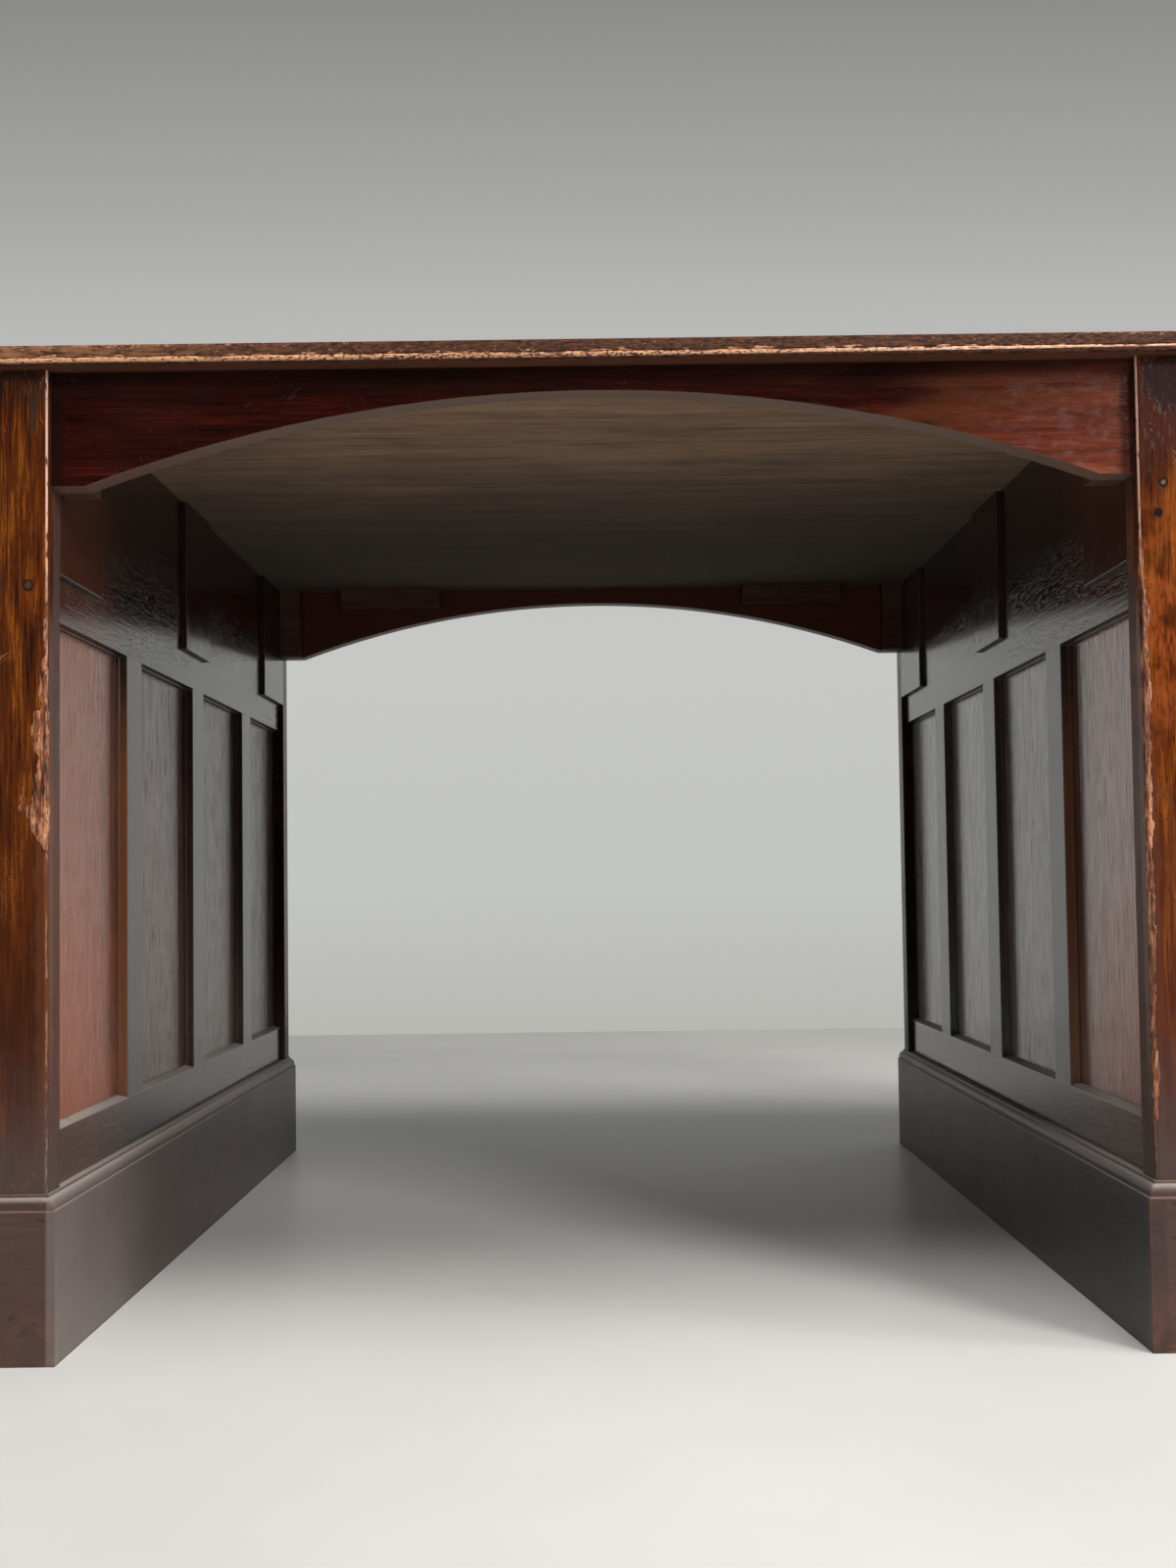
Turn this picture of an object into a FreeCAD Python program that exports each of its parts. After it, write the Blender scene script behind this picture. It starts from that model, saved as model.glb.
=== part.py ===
import FreeCAD
import Part
import math
import os
from FreeCAD import Vector

# Partners desk: two pedestals under one top, with a panelled kneehole right through from front to back.
# Millimetres. X runs along the desk, Y from the drawer side to the cupboard side, Z up from the floor.
# The origin is on the floor, under the middle of the top.

# Driving dimensions of the whole desk
desk_length = 1830.0
desk_depth = 1067.0
desk_height = 765.0
kneehole_width = 829.0

# Top
top_thickness = 15.0
top_overhang = 14.0
top_board_count = 5
edge_moulding_width = 42.0
edge_bead_radius = 2.7
edge_band_set_back = 1.6
leather_border = 68.0
leather_thickness = 1.4

# Corner posts
post_width = 45.0
post_thickness = 30.0
post_round = 3.0

# Panelled sides of the pedestals
frame_set_back = 5.0
frame_thickness = 20.0
side_top_rail_height = 187.0
side_bottom_rail_height = 66.0
muntin_count = 3
muntin_width = 50.0
muntin_shift = 7.0
panel_recess = 9.0
panel_thickness = 7.0
panel_groove_depth = 8.0
panel_edge_gap = 1.0
bead_width = 1.5
bead_depth = 2.0
sill_rise = 3.0
side_tenon_length = 15.0
side_tenon_shoulder = 14.0

# Pads on the kneehole sides, that the top is screwed down through
pad_drop = 151.6
front_pad_width = 118.0
middle_pad_width = 110.0
rear_pad_width = 130.0
middle_pad_shift = 10.0

# Aprons across the kneehole
apron_thickness = 22.0
apron_set_back = 7.3
apron_height = 88.7
apron_crown_height = 19.4
apron_ear_width = 26.0
corner_block_width = 26.0
corner_block_depth = 22.0
glue_block_length = 131.0
glue_block_section = 25.0
glue_block_inset = 82.0

# Plinths
plinth_projection = 7.6
plinth_thickness = 20.0
plinth_seat_height = 102.0
plinth_face_height = 114.3
plinth_step = 1.5
plinth_quirk = 1.0
plinth_ovolo_width = 4.6
plinth_ovolo_height = 8.5
plinth_fillet_height = 2.3
ovolo_bulge_share = 0.72

# Cross rails between the posts, front and rear
bottom_rail_height = 43.0
top_rail_height = 22.0
divider_height = 20.0
divider_depth = 60.0
cross_tenon_length = 18.0
cross_tenon_width = 14.0
cross_tenon_height = 12.0

# Inside of the pedestals
bottom_board_thickness = 12.0
partition_thickness = 12.0
runner_bearing = 16.0
guide_height = 30.0
shelf_thickness = 14.0
shelf_height_in_cupboard = 285.0
shelf_front_gap = 20.0
bearer_height = 20.0
bearer_width = 15.0

# Drawers, each deeper than the one above it
drawer_graduation = 31.0
drawer_side_gap = 1.5
drawer_top_gap = 1.5
drawer_running_gap = 0.3
drawer_rear_gap = 23.0
drawer_front_thickness = 20.0
drawer_lap = 6.0
drawer_side_thickness = 10.0
drawer_back_thickness = 10.0
drawer_bottom_thickness = 6.0
drawer_bottom_lift = 9.0
drawer_groove_depth = 5.0
drawer_side_drop = 3.0
tail_count = 3
tail_flare = 2.2
half_pin_height = 6.0
pin_height = 14.0

# Wooden knobs, cut with flats
knob_flats = 12
knob_foot_radius = 11.0
knob_neck_radius = 7.5
knob_neck_height = 8.0
knob_head_radius = 16.5
knob_flare_height = 17.0
knob_rim_height = 4.0
knob_crown_radius = 10.0
knob_projection = 28.0
knob_spacing = 210.0

# Cupboard doors
door_gap = 1.5
door_thickness = 22.0
door_stile_width = 56.0
door_top_rail_height = 60.0
door_bottom_rail_height = 70.0
door_tenon_length = 40.0
door_tenon_shoulder = 10.0
door_knob_height = 330.0

# Butt hinges
hinge_leaf_height = 65.0
hinge_leaf_width = 18.0
hinge_leaf_thickness = 1.2
hinge_barrel_radius = 3.2
hinge_barrel_stand_off = 0.3
hinge_pin_radius = 1.5
hinge_pin_clearance = 0.05
hinge_knuckle_gap = 0.3
hinge_knuckle_share = 1.0 / 3.0
hinge_inset = 75.0

# Planes that several pieces share
half_length = desk_length / 2.0
half_depth = desk_depth / 2.0
soffit_z = desk_height - top_thickness
post_inner_x = kneehole_width / 2.0
post_outer_x = half_length - top_overhang
pedestal_middle_x = (post_inner_x + post_outer_x) / 2.0
post_front_y = -(half_depth - top_overhang)
post_back_y = post_front_y + post_thickness
opening_inner_x = post_inner_x + post_width
opening_outer_x = post_outer_x - post_width
frame_face_x = post_inner_x + frame_set_back
frame_back_x = frame_face_x + frame_thickness
frame_far_back_x = 2.0 * pedestal_middle_x - frame_back_x
rail_low_z = soffit_z - side_top_rail_height
sill_z = plinth_seat_height + side_bottom_rail_height
cupboard_floor_z = plinth_seat_height + bottom_rail_height
opening_top_z = soffit_z - top_rail_height


def box(x0, x1, y0, y1, z0, z1):
    """Block between two corners."""
    return Part.makeBox(x1 - x0, y1 - y0, z1 - z0, Vector(x0, y0, z0))


def prism(points, along):
    """Solid swept from a closed outline of vectors along a vector."""
    wire = Part.makePolygon(points + [points[0]])
    return Part.Face(wire).extrude(along)


def swept_edges(edges, along):
    """Solid swept from a closed outline of edges along a vector."""
    return Part.Face(Part.Wire(edges)).extrude(along)


def mirror_x(shape, plane_x):
    """Copy of a shape, mirrored in the plane across X."""
    return shape.mirror(Vector(plane_x, 0, 0), Vector(1, 0, 0))


def mirror_y(shape):
    """Copy of a shape, mirrored in the middle plane from front to back."""
    return shape.mirror(Vector(0, 0, 0), Vector(0, 1, 0))


def both_ends(shape):
    """A shape and its copy at the other side of the desk."""
    return [shape, mirror_x(shape, 0)]


# Joiner's frames are drawn lying face on: local X across the width, local Y into the wood from the face,
# Z up. The moulded edge has a plain square depth and then a small bead against the panel.

square_depth = panel_recess - bead_depth
panel_back = panel_recess + panel_thickness


def muntin(centre_x, width, low_z, high_z, thickness):
    """Upright between two panels, beaded on both edges."""
    a = width / 2.0
    b = a + bead_width
    outline = [
        Vector(centre_x - a, 0, low_z),
        Vector(centre_x + a, 0, low_z),
        Vector(centre_x + a, square_depth, low_z),
        Vector(centre_x + b, square_depth, low_z),
        Vector(centre_x + b, thickness, low_z),
        Vector(centre_x - b, thickness, low_z),
        Vector(centre_x - b, square_depth, low_z),
        Vector(centre_x - a, square_depth, low_z),
    ]
    return prism(outline, Vector(0, 0, high_z - low_z))


def stile(edge_x, width, toward, low_z, high_z, thickness):
    """Outer upright of a door: plain outside edge, bead on the edge that looks toward the panel."""
    a = edge_x + toward * width
    b = a + toward * bead_width
    outline = [
        Vector(edge_x, 0, low_z),
        Vector(a, 0, low_z),
        Vector(a, square_depth, low_z),
        Vector(b, square_depth, low_z),
        Vector(b, thickness, low_z),
        Vector(edge_x, thickness, low_z),
    ]
    return prism(outline, Vector(0, 0, high_z - low_z))


def head_rail(start_x, end_x, low_z, high_z, thickness):
    """Top rail, with the bead along its lower edge."""
    outline = [
        Vector(start_x, 0, high_z),
        Vector(start_x, 0, low_z),
        Vector(start_x, square_depth, low_z),
        Vector(start_x, square_depth, low_z - bead_width),
        Vector(start_x, thickness, low_z - bead_width),
        Vector(start_x, thickness, high_z),
    ]
    return prism(outline, Vector(end_x - start_x, 0, 0))


def sill_rail(start_x, end_x, low_z, high_z, thickness):
    """Bottom rail, whose upper edge slopes up from the face to the panel."""
    outline = [
        Vector(start_x, 0, low_z),
        Vector(start_x, 0, high_z),
        Vector(start_x, panel_recess, high_z + sill_rise),
        Vector(start_x, thickness, high_z + sill_rise),
        Vector(start_x, thickness, low_z),
    ]
    return prism(outline, Vector(end_x - start_x, 0, 0))


def panel_board(start_x, end_x, low_z, high_z, reach):
    """Thin board that runs past its sight size into the grooves by a reach."""
    return box(start_x - reach, end_x + reach, panel_recess, panel_back, low_z - reach, high_z + reach)


def bridle_tenon(start_x, end_x, low_z, high_z):
    """Tongue of wood on the line of the panel grooves."""
    return box(start_x, end_x, panel_recess, panel_back, low_z, high_z)


# Panelled side of a pedestal, in its own frame: local X starts at the rear post and runs to the front one.

side_span = 2.0 * abs(post_back_y)
side_panel_width = (side_span - muntin_count * muntin_width) / (muntin_count + 1)


def muntin_centres():
    """Middles of the muntins, counted from the rear post."""
    pitch = side_panel_width + muntin_width
    first = side_panel_width + muntin_width / 2.0 - muntin_shift
    return [first + pitch * i for i in range(muntin_count)]


def panel_spans():
    """Start and end of each panel between the posts and muntins."""
    edges = [0.0]
    for centre in muntin_centres():
        edges.append(centre - muntin_width / 2.0)
        edges.append(centre + muntin_width / 2.0)
    edges.append(side_span)
    return [(edges[i], edges[i + 1]) for i in range(0, len(edges), 2)]


def side_rail_tenons():
    """Four tongues of the rails that enter the posts, as local blocks."""
    tenons = []
    for low, high in ((rail_low_z, soffit_z), (plinth_seat_height, sill_z)):
        z0 = low + side_tenon_shoulder
        z1 = high - side_tenon_shoulder
        tenons.append(bridle_tenon(-side_tenon_length, 0, z0, z1))
        tenons.append(bridle_tenon(side_span, side_span + side_tenon_length, z0, z1))
    return tenons


def side_grooves():
    """Groove around each side panel, as local blocks."""
    return [panel_board(a, b, sill_z, rail_low_z, panel_groove_depth) for a, b in panel_spans()]


def local_side_frame():
    """Rails and muntins of one panelled side."""
    head = head_rail(0, side_span, rail_low_z, soffit_z, frame_thickness)
    sill = sill_rail(0, side_span, plinth_seat_height, sill_z, frame_thickness)
    uprights = []
    tongues = []
    for centre in muntin_centres():
        upright = muntin(centre, muntin_width, sill_z, rail_low_z, frame_thickness).cut(head).cut(sill)
        a = centre - muntin_width / 2.0 + panel_groove_depth
        b = centre + muntin_width / 2.0 - panel_groove_depth
        upper = bridle_tenon(a, b, rail_low_z - bead_width, rail_low_z + side_tenon_length)
        lower = bridle_tenon(a, b, sill_z - side_tenon_length, sill_z + sill_rise)
        tongues += [upper, lower]
        uprights.append(upright.cut(Part.makeCompound(side_grooves())).fuse([upper, lower]).removeSplitter())
    cutter = Part.makeCompound(side_grooves()).fuse(tongues)
    tenons = side_rail_tenons()
    head = head.cut(cutter).fuse(tenons[:2]).removeSplitter()
    sill = sill.cut(cutter).fuse(tenons[2:]).removeSplitter()
    return [head, sill] + uprights


def local_side_panels():
    """Four thin boards of one panelled side."""
    reach = panel_groove_depth - panel_edge_gap
    return [panel_board(a, b, sill_z, rail_low_z, reach) for a, b in panel_spans()]


def place_kneehole_side(shape):
    """Turn a local side onto the kneehole face of the right pedestal."""
    turned = shape.copy()
    turned.rotate(Vector(0, 0, 0), Vector(0, 0, 1), -90)
    turned.translate(Vector(frame_face_x, -post_back_y, 0))
    return turned


def kneehole_frame():
    """Rails and muntins toward the kneehole."""
    return [place_kneehole_side(piece) for piece in local_side_frame()]


def kneehole_panels():
    """Panels toward the kneehole."""
    return [place_kneehole_side(piece) for piece in local_side_panels()]


def outward(shapes):
    """The same pieces on the outer face of the pedestal."""
    return [mirror_x(shape, pedestal_middle_x) for shape in shapes]


# Cross rails

def rail_levels():
    """Lower and upper level of each front rail, from the bottom one to the top one."""
    openings = opening_top_z - cupboard_floor_z - 2.0 * divider_height
    middle_opening = openings / 3.0
    top_opening = middle_opening - drawer_graduation
    upper_divider = opening_top_z - top_opening - divider_height
    lower_divider = upper_divider - middle_opening - divider_height
    return [
        (plinth_seat_height, cupboard_floor_z),
        (lower_divider, lower_divider + divider_height),
        (upper_divider, upper_divider + divider_height),
        (opening_top_z, soffit_z),
    ]


def cross_tenons(low, high):
    """Tongues of one cross rail that enter the two front posts."""
    middle_z = (low + high) / 2.0
    z0 = middle_z - cross_tenon_height / 2.0
    z1 = middle_z + cross_tenon_height / 2.0
    middle_y = post_front_y + post_thickness / 2.0
    y0 = middle_y - cross_tenon_width / 2.0
    y1 = middle_y + cross_tenon_width / 2.0
    return [
        box(opening_inner_x - cross_tenon_length, opening_inner_x, y0, y1, z0, z1),
        box(opening_outer_x, opening_outer_x + cross_tenon_length, y0, y1, z0, z1),
    ]


def cross_rail(low, high, depth):
    """One front rail with its tenons."""
    body = box(opening_inner_x, opening_outer_x, post_front_y, post_front_y + depth, low, high)
    return body.fuse(cross_tenons(low, high)).removeSplitter()


def cross_rails():
    """Four rails of the drawer front, and the two that the door closes between."""
    levels = rail_levels()
    rails = [
        cross_rail(*levels[0], post_thickness),
        cross_rail(*levels[1], divider_depth),
        cross_rail(*levels[2], divider_depth),
        cross_rail(*levels[3], post_thickness),
    ]
    rear = [mirror_y(cross_rail(*levels[0], post_thickness)), mirror_y(cross_rail(*levels[3], post_thickness))]
    return rails + rear


# Corner posts

def plain_post():
    """Inner front post before its joints are cut, with its kneehole corner rounded."""
    x0 = post_inner_x
    x1 = opening_inner_x
    y0 = post_front_y
    y1 = post_back_y
    r = min(post_round, post_thickness / 2.0)
    slant = r * (1.0 - math.cos(math.pi / 4.0))
    points = [Vector(x0, y0 + r, 0), Vector(x0 + slant, y0 + slant, 0), Vector(x0 + r, y0, 0)]
    edges = [
        Part.Arc(*points).toShape(),
        Part.LineSegment(points[2], Vector(x1, y0, 0)).toShape(),
        Part.LineSegment(Vector(x1, y0, 0), Vector(x1, y1, 0)).toShape(),
        Part.LineSegment(Vector(x1, y1, 0), Vector(x0, y1, 0)).toShape(),
        Part.LineSegment(Vector(x0, y1, 0), points[0]).toShape(),
    ]
    post = swept_edges(edges, Vector(0, 0, soffit_z - plinth_seat_height))
    post.translate(Vector(0, 0, plinth_seat_height))
    return post


def corner_posts():
    """Four posts of a pedestal, mortised for the rails and grooved for the panels."""
    side_joints = [place_kneehole_side(s) for s in side_rail_tenons() + side_grooves()]
    side_joints += outward(side_joints)
    front_joints = [t for low, high in rail_levels() for t in cross_tenons(low, high)]
    rear_joints = [mirror_y(t) for i in (0, -1) for t in cross_tenons(*rail_levels()[i])]
    joints = Part.makeCompound(side_joints + front_joints + rear_joints + [hinge_leaf_block(True)])
    front = plain_post()
    inner = [front, mirror_y(front)]
    return [post.cut(joints) for post in inner + outward(inner)]


# Plinth

def plinth_profile(lip):
    """Edges of a plinth board's section: X inward from the outer face, Z up, lip wide at the top."""
    step_z = plinth_face_height
    ovolo_z = step_z + plinth_quirk
    ovolo_top = ovolo_z + plinth_ovolo_height
    top = ovolo_top + plinth_fillet_height
    ovolo_in = plinth_step + plinth_ovolo_width
    bulge = Vector(
        ovolo_in - ovolo_bulge_share * plinth_ovolo_width,
        0,
        ovolo_z + ovolo_bulge_share * plinth_ovolo_height,
    )
    corners = [
        Vector(ovolo_in, 0, ovolo_top),
        Vector(ovolo_in, 0, top),
        Vector(lip, 0, top),
        Vector(lip, 0, plinth_seat_height),
        Vector(plinth_thickness, 0, plinth_seat_height),
        Vector(plinth_thickness, 0, 0),
        Vector(0, 0, 0),
        Vector(0, 0, step_z),
        Vector(plinth_step, 0, step_z),
        Vector(plinth_step, 0, ovolo_z),
    ]
    edges = [Part.LineSegment(a, b).toShape() for a, b in zip(corners, corners[1:])]
    edges.append(Part.Arc(corners[-1], bulge, corners[0]).toShape())
    return edges


def mitred_board(edges, length, reach):
    """Board swept from an XZ section along Y, its ends cut to mitres that meet the neighbours'."""
    board = swept_edges(edges, Vector(0, length, 0))
    top = desk_height
    for start, way in ((0, 1), (length, -1)):
        wedge = [
            Vector(0, start, 0),
            Vector(reach, start, 0),
            Vector(reach, start + way * reach, 0),
        ]
        if way < 0:
            wedge.reverse()
        board = board.cut(prism(wedge, Vector(0, 0, top)))
    return board


def plinth():
    """Four mitred boards, notched at the top for the posts to drop in."""
    x0 = post_inner_x - plinth_projection
    x1 = post_outer_x + plinth_projection
    y0 = post_front_y - plinth_projection
    side_length = -2.0 * y0
    end_length = x1 - x0
    side = mitred_board(plinth_profile(plinth_projection + frame_set_back), side_length, plinth_thickness)
    side.translate(Vector(x0, y0, 0))
    front = mitred_board(plinth_profile(plinth_projection), end_length, plinth_thickness)
    front.rotate(Vector(0, 0, 0), Vector(0, 0, 1), 90)
    front = mirror_x(front, 0)
    front.translate(Vector(x0, y0, 0))
    posts = post_envelopes()
    boards = [side, mirror_x(side, pedestal_middle_x), front, mirror_y(front)]
    return [board.cut(posts) for board in boards]


def post_envelopes():
    """Space that the four posts take up above the plinth's seat."""
    front = box(post_inner_x, opening_inner_x, post_front_y, post_back_y, plinth_seat_height, soffit_z)
    inner = [front, mirror_y(front)]
    return Part.makeCompound(inner + outward(inner))


# Pads, boards and runners of a pedestal

def fixing_pads():
    """Three upright pads that hang from the top on the kneehole side, flush with the posts."""
    z0 = soffit_z - pad_drop
    middle = side_span / 2.0 + middle_pad_shift
    spans = [
        (0.0, rear_pad_width),
        (middle - middle_pad_width / 2.0, middle + middle_pad_width / 2.0),
        (side_span - front_pad_width, side_span),
    ]
    return [place_kneehole_side(box(a, b, -frame_set_back, 0, z0, soffit_z)) for a, b in spans]


def bottom_board():
    """Floor of the pedestal between its rails."""
    z0 = cupboard_floor_z - bottom_board_thickness
    return [box(frame_back_x, frame_far_back_x, post_back_y, -post_back_y, z0, cupboard_floor_z)]


def partition():
    """Upright board between the drawers and the cupboard."""
    y1 = partition_thickness / 2.0
    return [box(frame_back_x, frame_far_back_x, -y1, y1, cupboard_floor_z, soffit_z)]


def drawer_runners():
    """Bearers and guides of the upper drawers, guides on the floor and kickers under the top."""
    rear_y = -partition_thickness / 2.0
    rail_back_y = post_front_y + divider_depth
    bearing_x = opening_inner_x + runner_bearing
    pieces = [box(frame_back_x, bearing_x, post_back_y, rear_y, opening_top_z, soffit_z)]
    for low, high in rail_levels()[1:3]:
        pieces.append(box(frame_back_x, bearing_x, rail_back_y, rear_y, low, high))
    for low, high in rail_levels()[0:3]:
        pieces.append(box(frame_back_x, opening_inner_x, post_back_y, rear_y, high, high + guide_height))
    return pieces + outward(pieces)


def cupboard_shelf():
    """Shelf of the cupboard."""
    z0 = cupboard_floor_z + shelf_height_in_cupboard
    return [box(frame_back_x, frame_far_back_x, partition_thickness / 2.0, shelf_rear_y(), z0,
                z0 + shelf_thickness)]


def shelf_rear_y():
    """Edge of the shelf toward the door."""
    return -post_front_y - door_thickness - shelf_front_gap


def shelf_bearers():
    """Battens under the shelf's ends."""
    z1 = cupboard_floor_z + shelf_height_in_cupboard
    batten = box(frame_back_x, frame_back_x + bearer_width, partition_thickness / 2.0, -post_back_y,
                 z1 - bearer_height, z1)
    return [batten] + outward([batten])


# Drawers

def drawer_levels():
    """Lower and upper level of each drawer opening, from the top drawer down."""
    levels = rail_levels()
    return [(levels[i][1], levels[i + 1][0]) for i in (2, 1, 0)]


def dovetails(side_x, end_y, shoulder_y, low, high):
    """Tails of a drawer side: wedges that widen from the shoulder to the end, between half pins."""
    clear = high - low - 2.0 * half_pin_height
    tail_height = (clear - (tail_count - 1) * pin_height) / tail_count
    tails = []
    for i in range(tail_count):
        z0 = low + half_pin_height + (tail_height + pin_height) * i
        z1 = z0 + tail_height
        outline = [
            Vector(side_x, shoulder_y, z0),
            Vector(side_x, end_y, z0 - tail_flare),
            Vector(side_x, end_y, z1 + tail_flare),
            Vector(side_x, shoulder_y, z1),
        ]
        tails.append(prism(outline, Vector(drawer_side_thickness, 0, 0)))
    return tails


def drawer_bounds(level):
    """Named planes of one drawer."""
    low, high = level
    return {
        "x0": opening_inner_x + drawer_side_gap,
        "x1": opening_outer_x - drawer_side_gap,
        "y0": post_front_y,
        "y1": -partition_thickness / 2.0 - drawer_rear_gap,
        "z0": low + drawer_running_gap,
        "z1": high - drawer_top_gap,
    }


def drawer_pieces(level):
    """Front and box of one drawer: lapped dovetails at the front, through dovetails at the back."""
    d = drawer_bounds(level)
    front_back_y = d["y0"] + drawer_front_thickness
    side_top = d["z1"] - drawer_side_drop
    bottom_z = d["z0"] + drawer_bottom_lift
    back_y = d["y1"] - drawer_back_thickness
    side_x = d["x0"]
    mid_x = (d["x0"] + d["x1"]) / 2.0
    bottom = box(side_x + drawer_groove_depth, d["x1"] - drawer_groove_depth, front_back_y - drawer_groove_depth,
                 d["y1"], bottom_z, bottom_z + drawer_bottom_thickness)
    front_tails = dovetails(side_x, d["y0"] + drawer_lap, front_back_y, d["z0"], side_top)
    back_low = bottom_z + drawer_bottom_thickness
    rear_tails = dovetails(side_x, d["y1"], back_y, back_low, side_top)
    side_in_x = side_x + drawer_side_thickness
    side = box(side_x, side_in_x, front_back_y, back_y, d["z0"], side_top)
    heel = box(side_x, side_in_x, back_y, d["y1"], d["z0"], back_low)
    side = side.fuse([heel] + front_tails + rear_tails).removeSplitter().cut(bottom)
    tails = Part.makeCompound(front_tails + rear_tails)
    tails = Part.makeCompound([tails, mirror_x(tails, mid_x)])
    back = box(side_x, d["x1"], back_y, d["y1"], back_low, side_top).cut(tails)
    front = box(d["x0"], d["x1"], d["y0"], front_back_y, d["z0"], d["z1"]).cut(tails).cut(bottom)
    return [front], [side, mirror_x(side, mid_x), back, bottom]


def knob(x, y, z, way):
    """Knob on a face that looks along -Y (way -1) or +Y (way 1): foot, neck, flared head and bevelled crown."""
    profile = [
        (knob_foot_radius, 0),
        (knob_neck_radius, knob_neck_height),
        (knob_head_radius, knob_flare_height),
        (knob_head_radius, knob_flare_height + knob_rim_height),
        (knob_crown_radius, knob_projection),
    ]
    angles = [2.0 * math.pi * (i + 0.5) / knob_flats for i in range(knob_flats + 1)]
    rings = [[Vector(r * math.cos(a), way * h, r * math.sin(a)) for a in angles] for r, h in profile]
    outlines = [rings[0], rings[-1]]
    for lower, upper in zip(rings, rings[1:]):
        for i in range(knob_flats):
            outlines.append([lower[i], lower[i + 1], upper[i + 1], upper[i], lower[i]])
    faces = [Part.Face(Part.makePolygon(outline)) for outline in outlines]
    body = Part.makeSolid(Part.makeShell(faces))
    if body.Volume < 0:
        body.reverse()
    body.translate(Vector(x, y, z))
    return body


def drawer_knobs(level):
    """Pair of knobs of one drawer."""
    z = (level[0] + level[1]) / 2.0
    offset = knob_spacing / 2.0
    return [knob(pedestal_middle_x + s * offset, post_front_y, z, -1) for s in (-1, 1)]


# Doors: drawn face on like the sides, then turned to close the cupboard from behind

door_width = opening_outer_x - opening_inner_x - 2.0 * door_gap
door_low_z = cupboard_floor_z + door_gap
door_high_z = opening_top_z - door_gap
door_face_y = -post_front_y


def place_door(shape):
    """Turn a local door into the opening, local X running from the outer post to the inner one."""
    turned = shape.copy()
    turned.rotate(Vector(0, 0, 0), Vector(0, 0, 1), 180)
    turned.translate(Vector(opening_outer_x - door_gap, door_face_y, 0))
    return turned


def door_sight():
    """Sight size of the door's panel: start, end, low and high."""
    return (
        door_stile_width,
        door_width - door_stile_width,
        door_low_z + door_bottom_rail_height,
        door_high_z - door_top_rail_height,
    )


def door_frame():
    """Stiles and rails of a door, joined by tenons in the line of the panel groove."""
    a, b, low, high = door_sight()
    stiles = [
        stile(0, door_stile_width, 1, door_low_z, door_high_z, door_thickness),
        stile(door_width, door_stile_width, -1, door_low_z, door_high_z, door_thickness),
    ]
    plain_stiles = Part.makeCompound(stiles)
    head = head_rail(a, b, high, door_high_z, door_thickness).cut(plain_stiles)
    sill = sill_rail(a, b, door_low_z, low, door_thickness).cut(plain_stiles)
    tenons = []
    for z0, z1 in ((high, door_high_z), (door_low_z, low)):
        t0 = z0 + door_tenon_shoulder
        t1 = z1 - door_tenon_shoulder
        tenons.append(bridle_tenon(a - door_tenon_length, a + bead_width, t0, t1))
        tenons.append(bridle_tenon(b - bead_width, b + door_tenon_length, t0, t1))
    groove = panel_board(a, b, low, high, panel_groove_depth)
    head = head.cut(groove).fuse(tenons[:2]).removeSplitter()
    sill = sill.cut(groove).fuse(tenons[2:]).removeSplitter()
    joints = Part.makeCompound([groove] + tenons)
    stiles = [piece.cut(joints) for piece in stiles]
    leaf = hinge_leaf_block(False)
    return [place_door(stiles[0]).cut(leaf), place_door(stiles[1]), place_door(head), place_door(sill)]


def door_panel():
    """Panel of a door."""
    a, b, low, high = door_sight()
    return [place_door(panel_board(a, b, low, high, panel_groove_depth - panel_edge_gap))]


def door_knob():
    """Knob in the middle of the stile that opens."""
    x = opening_inner_x + door_gap + door_stile_width / 2.0
    return [knob(x, door_face_y, door_low_z + door_knob_height, 1)]


# Butt hinges at the outer edge of the door

hinge_x = opening_outer_x - door_gap / 2.0
hinge_y = door_face_y + hinge_barrel_radius + hinge_barrel_stand_off


def hinge_bottoms():
    """Lower ends of the two hinges."""
    return [door_low_z + hinge_inset, door_high_z - hinge_inset - hinge_leaf_height]


def leaf_plates(fixed):
    """Plain plates of the leaves, let into the post or into the door's edge."""
    if fixed:
        x0 = opening_outer_x
    else:
        x0 = opening_outer_x - door_gap - hinge_leaf_thickness
    x1 = x0 + hinge_leaf_thickness
    y0 = door_face_y - hinge_leaf_width
    return [box(x0, x1, y0, door_face_y, z, z + hinge_leaf_height) for z in hinge_bottoms()]


def hinge_leaf_block(fixed):
    """Recess that the leaves are let into."""
    return Part.makeCompound(leaf_plates(fixed))


def knuckle_spans(fixed):
    """Lower and upper ends of a leaf's knuckles, from the leaf's lower end."""
    part = hinge_knuckle_share * hinge_leaf_height
    half_gap = hinge_knuckle_gap / 2.0
    if fixed:
        return [(0.0, part - half_gap), (hinge_leaf_height - part + half_gap, hinge_leaf_height)]
    return [(part + half_gap, hinge_leaf_height - part - half_gap)]


def barrel(bottom, low, high, radius):
    """Round bar on the hinge's axis between two heights above the leaf's lower end."""
    return Part.makeCylinder(radius, high - low, Vector(hinge_x, hinge_y, bottom + low))


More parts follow.
